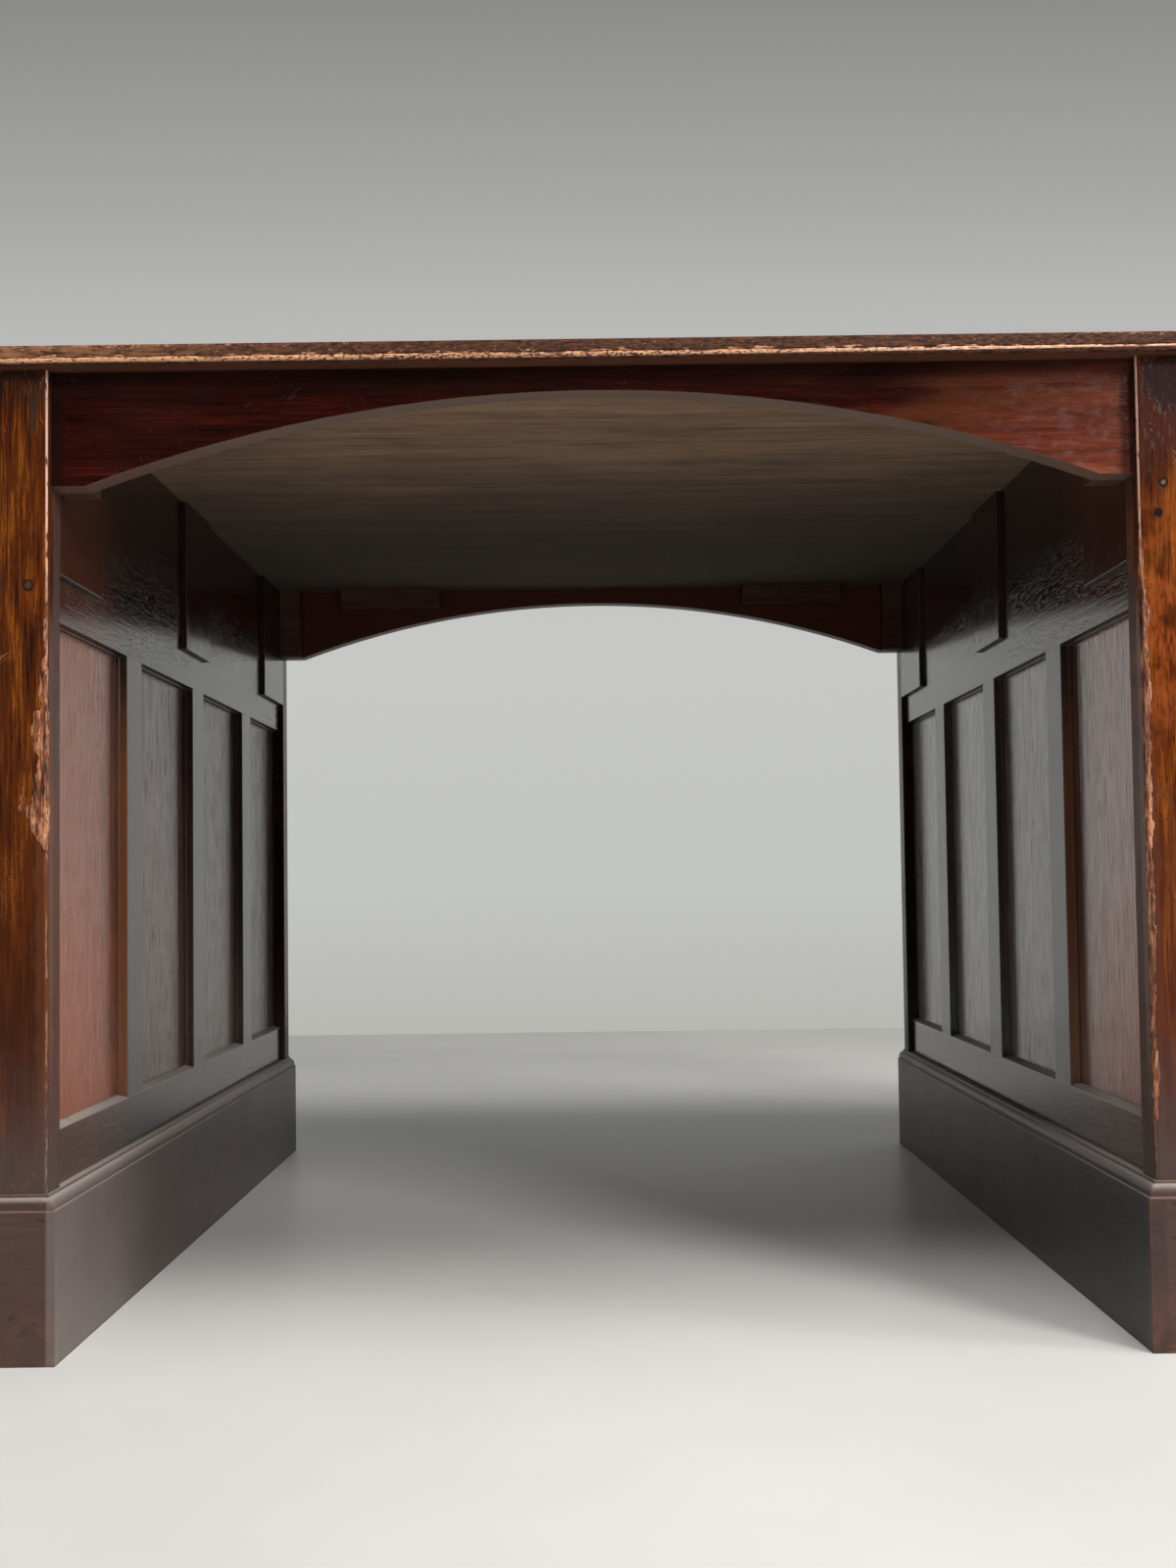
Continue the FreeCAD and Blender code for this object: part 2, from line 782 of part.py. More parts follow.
def hinge_leaves(fixed):
    """Leaves with their knuckles: the fixed leaf carries the pin, the other is bored for it."""
    leaves = []
    for bottom, plate in zip(hinge_bottoms(), leaf_plates(fixed)):
        x0 = plate.BoundBox.XMin
        x1 = plate.BoundBox.XMax
        leaf = plate
        for low, high in knuckle_spans(fixed):
            wrap = box(x0, x1, door_face_y, hinge_y, bottom + low, bottom + high)
            leaf = leaf.fuse([wrap, barrel(bottom, low, high, hinge_barrel_radius)])
        if fixed:
            leaf = leaf.fuse(barrel(bottom, 0, hinge_leaf_height, hinge_pin_radius)).removeSplitter()
        else:
            bore = barrel(bottom, 0, hinge_leaf_height, hinge_pin_radius + hinge_pin_clearance)
            leaf = leaf.removeSplitter().cut(bore)
        leaves.append(leaf)
    return leaves


# Top

def edge_profile():
    """Section of the top's edge: X inward from the bead's nose, Z from the soffit."""
    r = edge_bead_radius
    t = top_thickness
    s = edge_band_set_back
    w = edge_moulding_width
    bead = Part.Arc(Vector(r, 0, 0), Vector(0, 0, r), Vector(r, 0, 2.0 * r))
    lines = [
        (Vector(r, 0, 2.0 * r), Vector(s, 0, 2.0 * r)),
        (Vector(s, 0, 2.0 * r), Vector(s, 0, t)),
        (Vector(s, 0, t), Vector(w, 0, t)),
        (Vector(w, 0, t), Vector(w, 0, 0)),
        (Vector(w, 0, 0), Vector(r, 0, 0)),
    ]
    edges = [Part.LineSegment(p, q).toShape() for p, q in lines]
    return [bead.toShape()] + edges


def desktop_edge_moulding():
    """Mitred moulding round the top."""
    side = mitred_board(edge_profile(), desk_depth, edge_moulding_width)
    side.translate(Vector(-half_length, -half_depth, soffit_z))
    front = mitred_board(edge_profile(), desk_length, edge_moulding_width)
    front.rotate(Vector(0, 0, 0), Vector(0, 0, 1), 90)
    front = mirror_x(front, 0)
    front.translate(Vector(-half_length, -half_depth, soffit_z))
    return [front, mirror_y(front), side, mirror_x(side, 0)]


def leather_block():
    """Space of the writing leather in the top."""
    x1 = half_length - edge_moulding_width - leather_border
    y1 = half_depth - edge_moulding_width - leather_border
    return box(-x1, x1, -y1, y1, desk_height - leather_thickness, desk_height)


def desktop_boards():
    """Boards of the top, edge to edge, sunk for the leather."""
    x1 = half_length - edge_moulding_width
    y1 = half_depth - edge_moulding_width
    width = 2.0 * y1 / top_board_count
    boards = []
    for i in range(top_board_count):
        y0 = -y1 + width * i
        boards.append(box(-x1, x1, y0, y0 + width, soffit_z, desk_height).cut(leather_block()))
    return boards


# Aprons

def front_apron():
    """Arched board across the kneehole, with a flat ear at each end."""
    x1 = post_inner_x
    arch_x = x1 - apron_ear_width
    y0 = post_front_y + apron_set_back
    low = soffit_z - apron_height
    crown = soffit_z - apron_crown_height
    corners = [
        Vector(arch_x, y0, low),
        Vector(x1, y0, low),
        Vector(x1, y0, soffit_z),
        Vector(-x1, y0, soffit_z),
        Vector(-x1, y0, low),
        Vector(-arch_x, y0, low),
    ]
    edges = [Part.LineSegment(a, b).toShape() for a, b in zip(corners, corners[1:])]
    edges.append(Part.Arc(corners[-1], Vector(0, y0, crown), corners[0]).toShape())
    return swept_edges(edges, Vector(0, apron_thickness, 0))


def apron_blocks():
    """Glued blocks behind both aprons: uprights in the corners, short ones under the top."""
    y0 = post_front_y + apron_set_back + apron_thickness
    corner = box(post_inner_x - corner_block_width, post_inner_x, y0, y0 + corner_block_depth,
                 soffit_z - apron_height, soffit_z)
    glue_x = post_inner_x - glue_block_inset
    glue = box(glue_x - glue_block_length, glue_x, y0, y0 + glue_block_section,
               soffit_z - glue_block_section, soffit_z)
    front = both_ends(corner) + both_ends(glue)
    return front + [mirror_y(piece) for piece in front]


# Export

def export(name, solids):
    """Write one node."""
    shape = solids[0] if len(solids) == 1 else Part.makeCompound(solids)
    shape.exportStep("parts/" + name + ".step")
    print(name, len(shape.Solids), "solids, valid:", shape.isValid())


def pedestal_nodes():
    """Nodes of the right pedestal, by name."""
    nodes = {
        "corner_posts": corner_posts(),
        "kneehole_frame": kneehole_frame(),
        "kneehole_panels": kneehole_panels(),
        "end_frame": outward(kneehole_frame()),
        "end_panels": outward(kneehole_panels()),
        "fixing_pads": fixing_pads(),
        "plinth": plinth(),
        "cross_rails": cross_rails(),
        "drawer_runners": drawer_runners(),
        "bottom_board": bottom_board(),
        "partition": partition(),
        "cupboard_shelf": cupboard_shelf(),
        "shelf_bearers": shelf_bearers(),
        "door_frame": door_frame(),
        "door_panel": door_panel(),
        "door_knob": door_knob(),
        "door_hinge_leaves": hinge_leaves(False),
        "post_hinge_leaves": hinge_leaves(True),
    }
    for word, level in zip(("top", "middle", "bottom"), drawer_levels()):
        front, drawer_box = drawer_pieces(level)
        nodes[word + "_drawer_front"] = front
        nodes[word + "_drawer_box"] = drawer_box
        nodes[word + "_drawer_knobs"] = drawer_knobs(level)
    return nodes


def main():
    """Write every node of the desk."""
    os.makedirs("parts", exist_ok=True)
    export("desktop_boards", desktop_boards())
    export("desktop_edge_moulding", desktop_edge_moulding())
    export("writing_leather", [leather_block()])
    apron = front_apron()
    export("front_apron", [apron])
    export("rear_apron", [mirror_y(apron)])
    export("apron_blocks", apron_blocks())
    for name, solids in pedestal_nodes().items():
        export("right_" + name, solids)
        export("left_" + name, [mirror_x(solid, 0) for solid in solids])


main()
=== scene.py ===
"""Looks of the partners desk: finishes, small fittings, floor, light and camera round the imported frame.

Metres. X runs along the desk, Y from the drawer side to the cupboard side, Z up from the floor.
"""
import logging
import math
from collections.abc import Callable, Iterator, Sequence
from contextlib import contextmanager
from dataclasses import dataclass
from enum import Enum
from functools import cache

import bpy
from mathutils import Matrix, Vector, noise


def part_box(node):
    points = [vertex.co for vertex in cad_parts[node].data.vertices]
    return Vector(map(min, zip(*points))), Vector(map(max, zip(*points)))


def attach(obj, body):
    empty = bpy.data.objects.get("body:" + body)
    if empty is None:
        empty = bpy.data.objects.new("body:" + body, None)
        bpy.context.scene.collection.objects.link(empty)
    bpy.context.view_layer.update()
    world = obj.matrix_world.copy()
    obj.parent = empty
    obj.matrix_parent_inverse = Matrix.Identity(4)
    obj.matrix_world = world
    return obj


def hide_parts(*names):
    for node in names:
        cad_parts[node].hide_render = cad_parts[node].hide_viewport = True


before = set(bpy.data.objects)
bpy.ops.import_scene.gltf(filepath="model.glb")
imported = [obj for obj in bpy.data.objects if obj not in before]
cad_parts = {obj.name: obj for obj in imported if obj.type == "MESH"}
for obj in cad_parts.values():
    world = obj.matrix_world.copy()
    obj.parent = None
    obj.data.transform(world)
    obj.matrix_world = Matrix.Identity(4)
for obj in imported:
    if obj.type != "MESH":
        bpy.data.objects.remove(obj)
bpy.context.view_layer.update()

LOG = logging.getLogger("desk")

Rgb = tuple[float, float, float]
Point = tuple[float, float, float]
Socket = bpy.types.NodeSocket

# Sizes of the desk that marks and patterns follow
TOP_Z = 0.765
EDGE_X = 0.915
SOFFIT_Z = 0.750
POST_INNER_X = 0.4145
POST_FRONT_Y = 0.5195
PLINTH_INNER_X = 0.4069
DRAWER_X = 0.65775
DRAWER_BACK_Y = -0.0405
BETWEEN_DRAWER_SIDES = 0.185
KNEEHOLE_POSTS_X = 0.47
RAIL_LOW_Z = 0.563
SILL_Z = 0.168
EDGE_Y = 0.5335
LEATHER_X = 0.805
LEATHER_Y = 0.4235
BOARD_WIDTH = 0.1966
BOARDS_Y = 0.4915
DOOR_STILE = 0.056
DOOR_INNER_X = 0.461
DOOR_OUTER_X = 0.8545


class Named(Enum):
    """Something that node names speak of."""

    @property
    def word(self) -> str:
        """Its word in node names."""
        return self.name.lower()


class Side(Named):
    """The two pedestals, with the sign of their X."""

    LEFT = -1
    RIGHT = 1


class Level(Named):
    """The three drawers of a pedestal, with the height of each one's middle."""

    TOP = 0.651
    MIDDLE = 0.4675
    BOTTOM = 0.251


class GrainPlan(Enum):
    """Which way the grain runs in a piece."""

    LENGTHWISE = "along_the_desk"
    CROSSWISE = "front_to_back"
    UPRIGHT = "upright"
    SIDE_FRAME = "side_frame"
    DOOR_FRAME = "door_frame"
    RING = "ring_of_boards"
    BOX = "drawer_box"


@dataclass(frozen=True)
class Value:
    """A number, vector or colour inside a node tree. Arithmetic on it adds nodes."""

    wiring: "Wiring"
    socket: Socket

    def __add__(self, other: "Feed") -> "Value":
        """Sum."""
        return self.wiring.math("ADD", self, other)

    def __radd__(self, other: "Feed") -> "Value":
        """Sum that starts with a plain number."""
        return self.wiring.math("ADD", other, self)

    def __sub__(self, other: "Feed") -> "Value":
        """Difference."""
        return self.wiring.math("SUBTRACT", self, other)

    def __rsub__(self, other: "Feed") -> "Value":
        """Difference from a plain number."""
        return self.wiring.math("SUBTRACT", other, self)

    def __mul__(self, other: "Feed") -> "Value":
        """Product."""
        return self.wiring.math("MULTIPLY", self, other)

    def __truediv__(self, other: "Feed") -> "Value":
        """Quotient."""
        return self.wiring.math("DIVIDE", self, other)

    def __gt__(self, other: "Feed") -> "Value":
        """1 where this is the larger, else 0."""
        return self.wiring.math("GREATER_THAN", self, other)

    def __lt__(self, other: "Feed") -> "Value":
        """1 where this is the smaller, else 0."""
        return self.wiring.math("LESS_THAN", self, other)

    def __abs__(self) -> "Value":
        """Size without sign."""
        return self.wiring.math("ABSOLUTE", self)

    def step(self, low: "Feed", high: "Feed") -> "Value":
        """Smooth step from 0 at low to 1 at high, which may lie below low."""
        return self.wiring.fed("ShaderNodeMapRange", self, low, high, 0.0, 1.0, interpolation_type="SMOOTHSTEP")


Feed = float | Sequence[float] | Socket | Value


class Wiring:
    """Puts nodes into one node tree and joins them."""

    def __init__(self, tree: bpy.types.NodeTree) -> None:
        """Starts on a tree."""
        self.tree = tree

    def put(self, kind: str, **settings: object) -> bpy.types.Node:
        """Adds one node.

        Args:
            kind: the node's type name.
            settings: plain properties of the node.

        Returns:
            The new node.
        """
        node = self.tree.nodes.new(kind)
        for key, value in settings.items():
            setattr(node, key, value)
        return node

    def feed(self, socket: Socket, value: Feed) -> None:
        """Links a socket to another, or sets it to a plain value.

        Args:
            socket: the input.
            value: an output to link, a number, or a tuple.
        """
        if isinstance(value, Value):
            value = value.socket
        if isinstance(value, Socket):
            self.tree.links.new(value, socket)
        elif isinstance(value, (int, float)):
            if hasattr(socket.default_value, "__len__"):
                socket.default_value = [float(value)] * len(socket.default_value)
            else:
                socket.default_value = float(value)
        else:
            values = list(value)
            if len(socket.default_value) == 4 and len(values) == 3:
                values.append(1.0)
            socket.default_value = values

    def read(self, node: bpy.types.Node, output: str | int = 0) -> Value:
        """One output of a node."""
        return Value(self, node.outputs[output])

    def fill(self, node: bpy.types.Node, **values: Feed) -> bpy.types.Node:
        """Feeds a node's inputs by name, with _ for a blank.

        Args:
            node: the node.
            values: what goes into each input.

        Returns:
            The same node.
        """
        for key, value in values.items():
            self.feed(node.inputs[key.replace("_", " ")], value)
        return node

    def fed(self, kind: str, *values: Feed, **settings: object) -> Value:
        """Adds one node and feeds its first inputs in order.

        Args:
            kind: the node's type name.
            values: what goes into its inputs.
            settings: plain properties of the node.

        Returns:
            Its first output.
        """
        node = self.put(kind, **settings)
        for socket, value in zip(node.inputs, values):
            self.feed(socket, value)
        return self.read(node)

    def math(self, work: str, *values: Feed, clamp: bool = False) -> Value:
        """One step of arithmetic on one to three values."""
        return self.fed("ShaderNodeMath", *values, operation=work, use_clamp=clamp)

    def scaled(self, vector: Feed, factors: Sequence[float]) -> Value:
        """A vector with each part multiplied by its own factor."""
        return self.fed("ShaderNodeVectorMath", vector, factors, operation="MULTIPLY")

    def split(self, vector: Feed) -> tuple[Value, Value, Value]:
        """The X, Y and Z of a vector."""
        node = self.put("ShaderNodeSeparateXYZ")
        self.feed(node.inputs[0], vector)
        return self.read(node, 0), self.read(node, 1), self.read(node, 2)

    def join(self, x: Feed, y: Feed, z: Feed) -> Value:
        """A vector from its three parts."""
        return self.fed("ShaderNodeCombineXYZ", x, y, z)

    def noise(self, place: Feed, scale: Feed, detail: float = 2.0, warp: float = 0.0) -> Value:
        """Soft noise, about 0.5 on average, with finer layers and bent by itself as far as warp says."""
        node = self.put("ShaderNodeTexNoise")
        return self.read(self.fill(node, Vector=place, Scale=scale, Detail=detail, Distortion=warp))

    def tint(self, mask: Feed, under: Feed, over: Feed) -> Value:
        """One colour laid over another.

        Args:
            mask: how much of the upper colour shows.
            under: the lower colour.
            over: the upper colour.

        Returns:
            The mixed colour.
        """
        node = self.put("ShaderNodeMix", data_type="RGBA", blend_type="MIX")
        for number, value in zip((0, 6, 7), (mask, under, over)):
            self.feed(node.inputs[number], value)
        return self.read(node, 2)

    def ramp(self, value: Feed, stops: Sequence[tuple[float, Rgb]]) -> Value:
        """A colour that follows a value.

        Args:
            value: from 0 to 1.
            stops: places and colours.

        Returns:
            The colour.
        """
        node = self.put("ShaderNodeValToRGB")
        self.feed(node.inputs[0], value)
        marks = node.color_ramp.elements
        while len(marks) < len(stops):
            marks.new(0.5)
        for mark, (place, colour) in zip(marks, stops):
            mark.position = place
            mark.color = (*colour, 1.0)
        return self.read(node)

    def place(self) -> Value:
        """The surface point in the desk's own frame."""
        return self.read(self.put("ShaderNodeTexCoord"), "Object")

    def normal(self) -> Value:
        """The direction that the surface faces, before any bump."""
        return self.read(self.put("ShaderNodeNewGeometry"), "Normal")

    def bump(self, strength: float, distance: float, height: Feed) -> bpy.types.Node:
        """Relief that follows a height, where distance is the height of 1 in metres."""
        return self.fill(self.put("ShaderNodeBump"), Strength=strength, Distance=distance, Height=height)

    def facing(self, part: int, low: float, high: float) -> Value:
        """Where the normal's X, Y or Z, for part 0, 1 or 2, goes from low to high."""
        return self.split(self.normal())[part].step(low, high)

    def pick(self, mask: Value, first: Feed, second: Feed) -> Value:
        """The first number where the mask is 0, the second where it is 1."""
        return (1.0 - mask) * first + mask * second

    def choose(self, mask: Feed, first: Feed, second: Feed) -> Value:
        """One of two vectors.

        Args:
            mask: 0 for the first, 1 for the second.
            first: the vector at 0.
            second: the vector at 1.

        Returns:
            The vector.
        """
        node = self.put("ShaderNodeMix", data_type="VECTOR")
        for number, value in zip((0, 4, 5), (mask, first, second)):
            self.feed(node.inputs[number], value)
        return self.read(node, 1)


@dataclass(frozen=True)
class Effect:
    """A shader node group that several finishes share."""

    name: str
    takes: tuple[tuple[str, str, Feed], ...]
    gives: tuple[tuple[str, str], ...]
    draw: Callable[[Wiring, dict[str, Value]], dict[str, Value]]

    @cache
    def tree(self) -> bpy.types.NodeTree:
        """Builds the group the first time, and hands out the same one later.

        Returns:
            The group's node tree.
        """
        tree = bpy.data.node_groups.new(self.name, "ShaderNodeTree")
        for label, kind, start in self.takes:
            socket = tree.interface.new_socket(label, in_out="INPUT", socket_type=kind)
            socket.default_value = start
        for label, kind in self.gives:
            tree.interface.new_socket(label, in_out="OUTPUT", socket_type=kind)
        wiring = Wiring(tree)
        entry = wiring.put("NodeGroupInput")
        given = {socket.name: Value(wiring, socket) for socket in entry.outputs if socket.name}
        wiring.fill(wiring.put("NodeGroupOutput"), **self.draw(wiring, given))
        return tree

    def use(self, wiring: Wiring, **values: Feed) -> dict[str, Value]:
        """Places the group in a material and hands out its outputs by name."""
        node = wiring.fill(wiring.put("ShaderNodeGroup", node_tree=self.tree()), **values)
        return {socket.name: Value(wiring, socket) for socket in node.outputs}


NUMBER, COLOUR, VECTOR = "NodeSocketFloat", "NodeSocketColor", "NodeSocketVector"


def open_material(name: str) -> tuple[bpy.types.Material, Wiring, bpy.types.Node]:
    """Starts a material.

    Args:
        name: its name.

    Returns:
        The material, its wiring and its principled shader.
    """
    material = bpy.data.materials.new(name)
    material.use_nodes = True
    return material, Wiring(material.node_tree), material.node_tree.nodes["Principled BSDF"]


def draw_grain(wiring: Wiring, given: dict[str, Value]) -> dict[str, Value]:
    """Grain of sawn mahogany: fibre, ribbon stripe, broad figure and open pores.

    Args:
        wiring: the group's wiring.
        given: its inputs.

    Returns:
        Its outputs.
    """
    along, across, deep = wiring.split(given["Place"])
    wave = wiring.noise(wiring.scaled(given["Place"], (7.0, 16.0, 16.0)), 1.0, 2.0)
    sway = (wave - 0.5) * 0.004 * wiring.math("MINIMUM", given["Curl"], 1.0)
    place = wiring.join(along * given["Curl"], across + sway, deep + sway)
    fibre = wiring.noise(wiring.scaled(place, (17.0, 620.0, 620.0)), 1.0, 3.0)
    streak = wiring.noise(wiring.scaled(place, (8.0, 260.0, 260.0)), 1.0, 4.0)
    figure = wiring.noise(wiring.scaled(place, (4.0, 46.0, 46.0)), 1.0, 4.0, 0.6)
    pore_field = wiring.noise(wiring.scaled(place, (75.0, 1300.0, 1300.0)), 1.0, 1.0)
    pores = pore_field.step(0.58, 0.68)
    tone = 0.5 + (fibre - 0.5) * given["Fibre"] + (streak - 0.5) * given["Stripe"] + (figure - 0.5) * given["Figure"]
    low = wiring.tint(tone.step(0.12, 0.5), given["Dark"], given["Middle"])
    colour = wiring.tint(tone.step(0.5, 0.9), low, given["Light"])
    sunk = pores * given["Pores"]
    colour = wiring.tint(sunk, colour, wiring.tint(0.75, colour, given["Dark"]))
    height = fibre * 0.35 + streak * 0.6 + sunk * -0.8
    return {"Colour": colour, "Height": height, "Tone": tone}


GRAIN = Effect(
    "wood_grain",
    (
        ("Place", VECTOR, (0.0, 0.0, 0.0)),
        ("Dark", COLOUR, (0.02, 0.01, 0.01, 1.0)),
        ("Middle", COLOUR, (0.1, 0.05, 0.03, 1.0)),
        ("Light", COLOUR, (0.3, 0.15, 0.1, 1.0)),
        ("Stripe", NUMBER, 0.8),
        ("Figure", NUMBER, 0.8),
        ("Pores", NUMBER, 0.7),
        ("Curl", NUMBER, 1.0),
        ("Fibre", NUMBER, 0.9),
    ),
    (("Colour", COLOUR), ("Height", NUMBER), ("Tone", NUMBER)),
    draw_grain,
)


def draw_edge_wear(wiring: Wiring, given: dict[str, Value]) -> dict[str, Value]:
    """Where arrises are rubbed through, and a surface that is rounded there.

    Args:
        wiring: the group's wiring.
        given: its inputs.

    Returns:
        Its outputs.
    """
    rounded = wiring.read(wiring.fill(wiring.put("ShaderNodeBevel", samples=4), Radius=given["Radius"]))
    turn = wiring.put("ShaderNodeVectorMath", operation="DOT_PRODUCT")
    wiring.feed(turn.inputs[0], rounded)
    wiring.feed(turn.inputs[1], wiring.normal())
    bend = wiring.math("SUBTRACT", 1.0, turn.outputs["Value"], clamp=True)
    rough = wiring.noise(wiring.place(), given["Break Up"], 4.0)
    reach = rough * 0.34 - 0.1
    mask = bend.step(reach, reach + 0.12)
    return {"Mask": mask * given["Amount"], "Normal": rounded}


EDGE_WEAR = Effect(
    "edge_wear",
    (("Radius", NUMBER, 0.002), ("Amount", NUMBER, 0.5), ("Break Up", NUMBER, 140.0)),
    (("Mask", NUMBER), ("Normal", VECTOR)),
    draw_edge_wear,
)


def draw_crevice(wiring: Wiring, given: dict[str, Value]) -> dict[str, Value]:
    """Painted shade that darkens hollows and corners where surfaces meet, found by ambient occlusion.

    Args:
        wiring: the group's wiring.
        given: its inputs.

    Returns:
        Its outputs.
    """
    hollow = wiring.fill(wiring.put("ShaderNodeAmbientOcclusion", samples=6), Distance=given["Reach"])
    rough = wiring.noise(wiring.place(), 90.0, 3.0)
    closed = 1.0 - wiring.read(hollow, "AO")
    mask = (rough * 0.3 + closed).step(0.42, 0.95)
    return {"Mask": mask * given["Amount"]}


HOLLOW_SHADE = Effect("crevice_dirt", (("Reach", NUMBER, 0.008), ("Amount", NUMBER, 0.6)), (("Mask", NUMBER),), draw_crevice)


def draw_scratches(wiring: Wiring, given: dict[str, Value]) -> dict[str, Value]:
    """Short fine scratches and nicks in several directions.

    Args:
        wiring: the group's wiring.
        given: its inputs.

    Returns:
        Its outputs.
    """
    place = wiring.place()
    lines: Feed = 0.0
    for turn, patch_scale in (((0.0, 0.7, 0.0), 21.0), ((0.0, -1.1, 0.0), 34.0), ((0.9, 0.0, 0.0), 27.0),
                              ((0.0, 0.0, 0.5), 24.0)):
        mapping = wiring.fill(wiring.put("ShaderNodeMapping", vector_type="POINT"), Vector=place, Rotation=turn)
        along = wiring.scaled(wiring.read(mapping), (1000.0, 70.0, 1000.0) if turn[0] else (70.0, 1000.0, 1000.0))
        line = wiring.noise(along, 1.0, 0.0).step(0.74, 0.8)
        patch = wiring.noise(place, patch_scale, 2.0).step(0.6, 0.68)
        lines = wiring.math("MAXIMUM", lines, line * patch)
    return {"Mask": lines * given["Amount"]}


SCRATCHES = Effect("scratches", (("Amount", NUMBER, 0.5),), (("Mask", NUMBER),), draw_scratches)


def draw_patches(wiring: Wiring, given: dict[str, Value]) -> dict[str, Value]:
    """Uneven stain and polish, in long soft patches with darker spots.

    Args:
        wiring: the group's wiring.
        given: its inputs.

    Returns:
        Its outputs.
    """
    broad = wiring.noise(given["Place"], 9.0, 4.0, 0.4)
    spots = wiring.noise(wiring.scaled(given["Place"], (0.45, 1.0, 1.0)), 55.0, 5.0)
    mask = broad.step(0.42, 0.66) * 0.7 + spots.step(0.52, 0.7) * 0.6
    return {"Mask": wiring.math("MULTIPLY", mask, given["Amount"], clamp=True)}


PATCHES = Effect(
    "uneven_polish", (("Place", VECTOR, (0.0, 0.0, 0.0)), ("Amount", NUMBER, 0.5)), (("Mask", NUMBER),), draw_patches,
)


def draw_dust(wiring: Wiring, given: dict[str, Value]) -> dict[str, Value]:
    """Grey film of dust, thicker on what faces up.

    Args:
        wiring: the group's wiring.
        given: its inputs.

    Returns:
        Its outputs.
    """
    up = wiring.split(wiring.normal())[2]
    place = wiring.place()
    cloud = wiring.noise(place, 14.0, 4.0)
    fine = wiring.noise(place, 240.0, 3.0)
    film = given["Film"] * (cloud * 1.1 + 0.35) * (fine + 0.45)
    settled = up.step(0.35, 0.95) * given["Settled"] * (fine + 0.4)
    return {"Mask": wiring.math("ADD", film, settled, clamp=True)}


DUST = Effect("dust", (("Film", NUMBER, 0.2), ("Settled", NUMBER, 0.4)), (("Mask", NUMBER),), draw_dust)


@dataclass(frozen=True)
class Mark:
    """One mark that use has left: a stain, a bared place or a hole."""

    centre: Point
    reach: Point
    colour: Rgb
    strength: float = 1.0
    ragged: float = 0.5

    def lay(self, wiring: Wiring, colour: Feed) -> tuple[Value, Value]:
        """Lays the mark over a colour.

        Args:
            wiring: the material's wiring.
            colour: the colour so far.

        Returns:
            The new colour and the mark's mask.
        """
        place = wiring.place()
        away = wiring.fed("ShaderNodeVectorMath", place, self.centre, operation="SUBTRACT")
        part = wiring.scaled(away, tuple(1.0 / size for size in self.reach))
        length = wiring.put("ShaderNodeVectorMath", operation="LENGTH")
        wiring.feed(length.inputs[0], part)
        rough = wiring.noise(place, 1.1 / min(self.reach), 4.0)
        spread = rough * (self.ragged * 2.0) + length.outputs["Value"]
        mask = spread.step(1.12 + self.ragged, 0.88 + self.ragged) * self.strength
        return wiring.tint(mask, colour, self.colour), mask


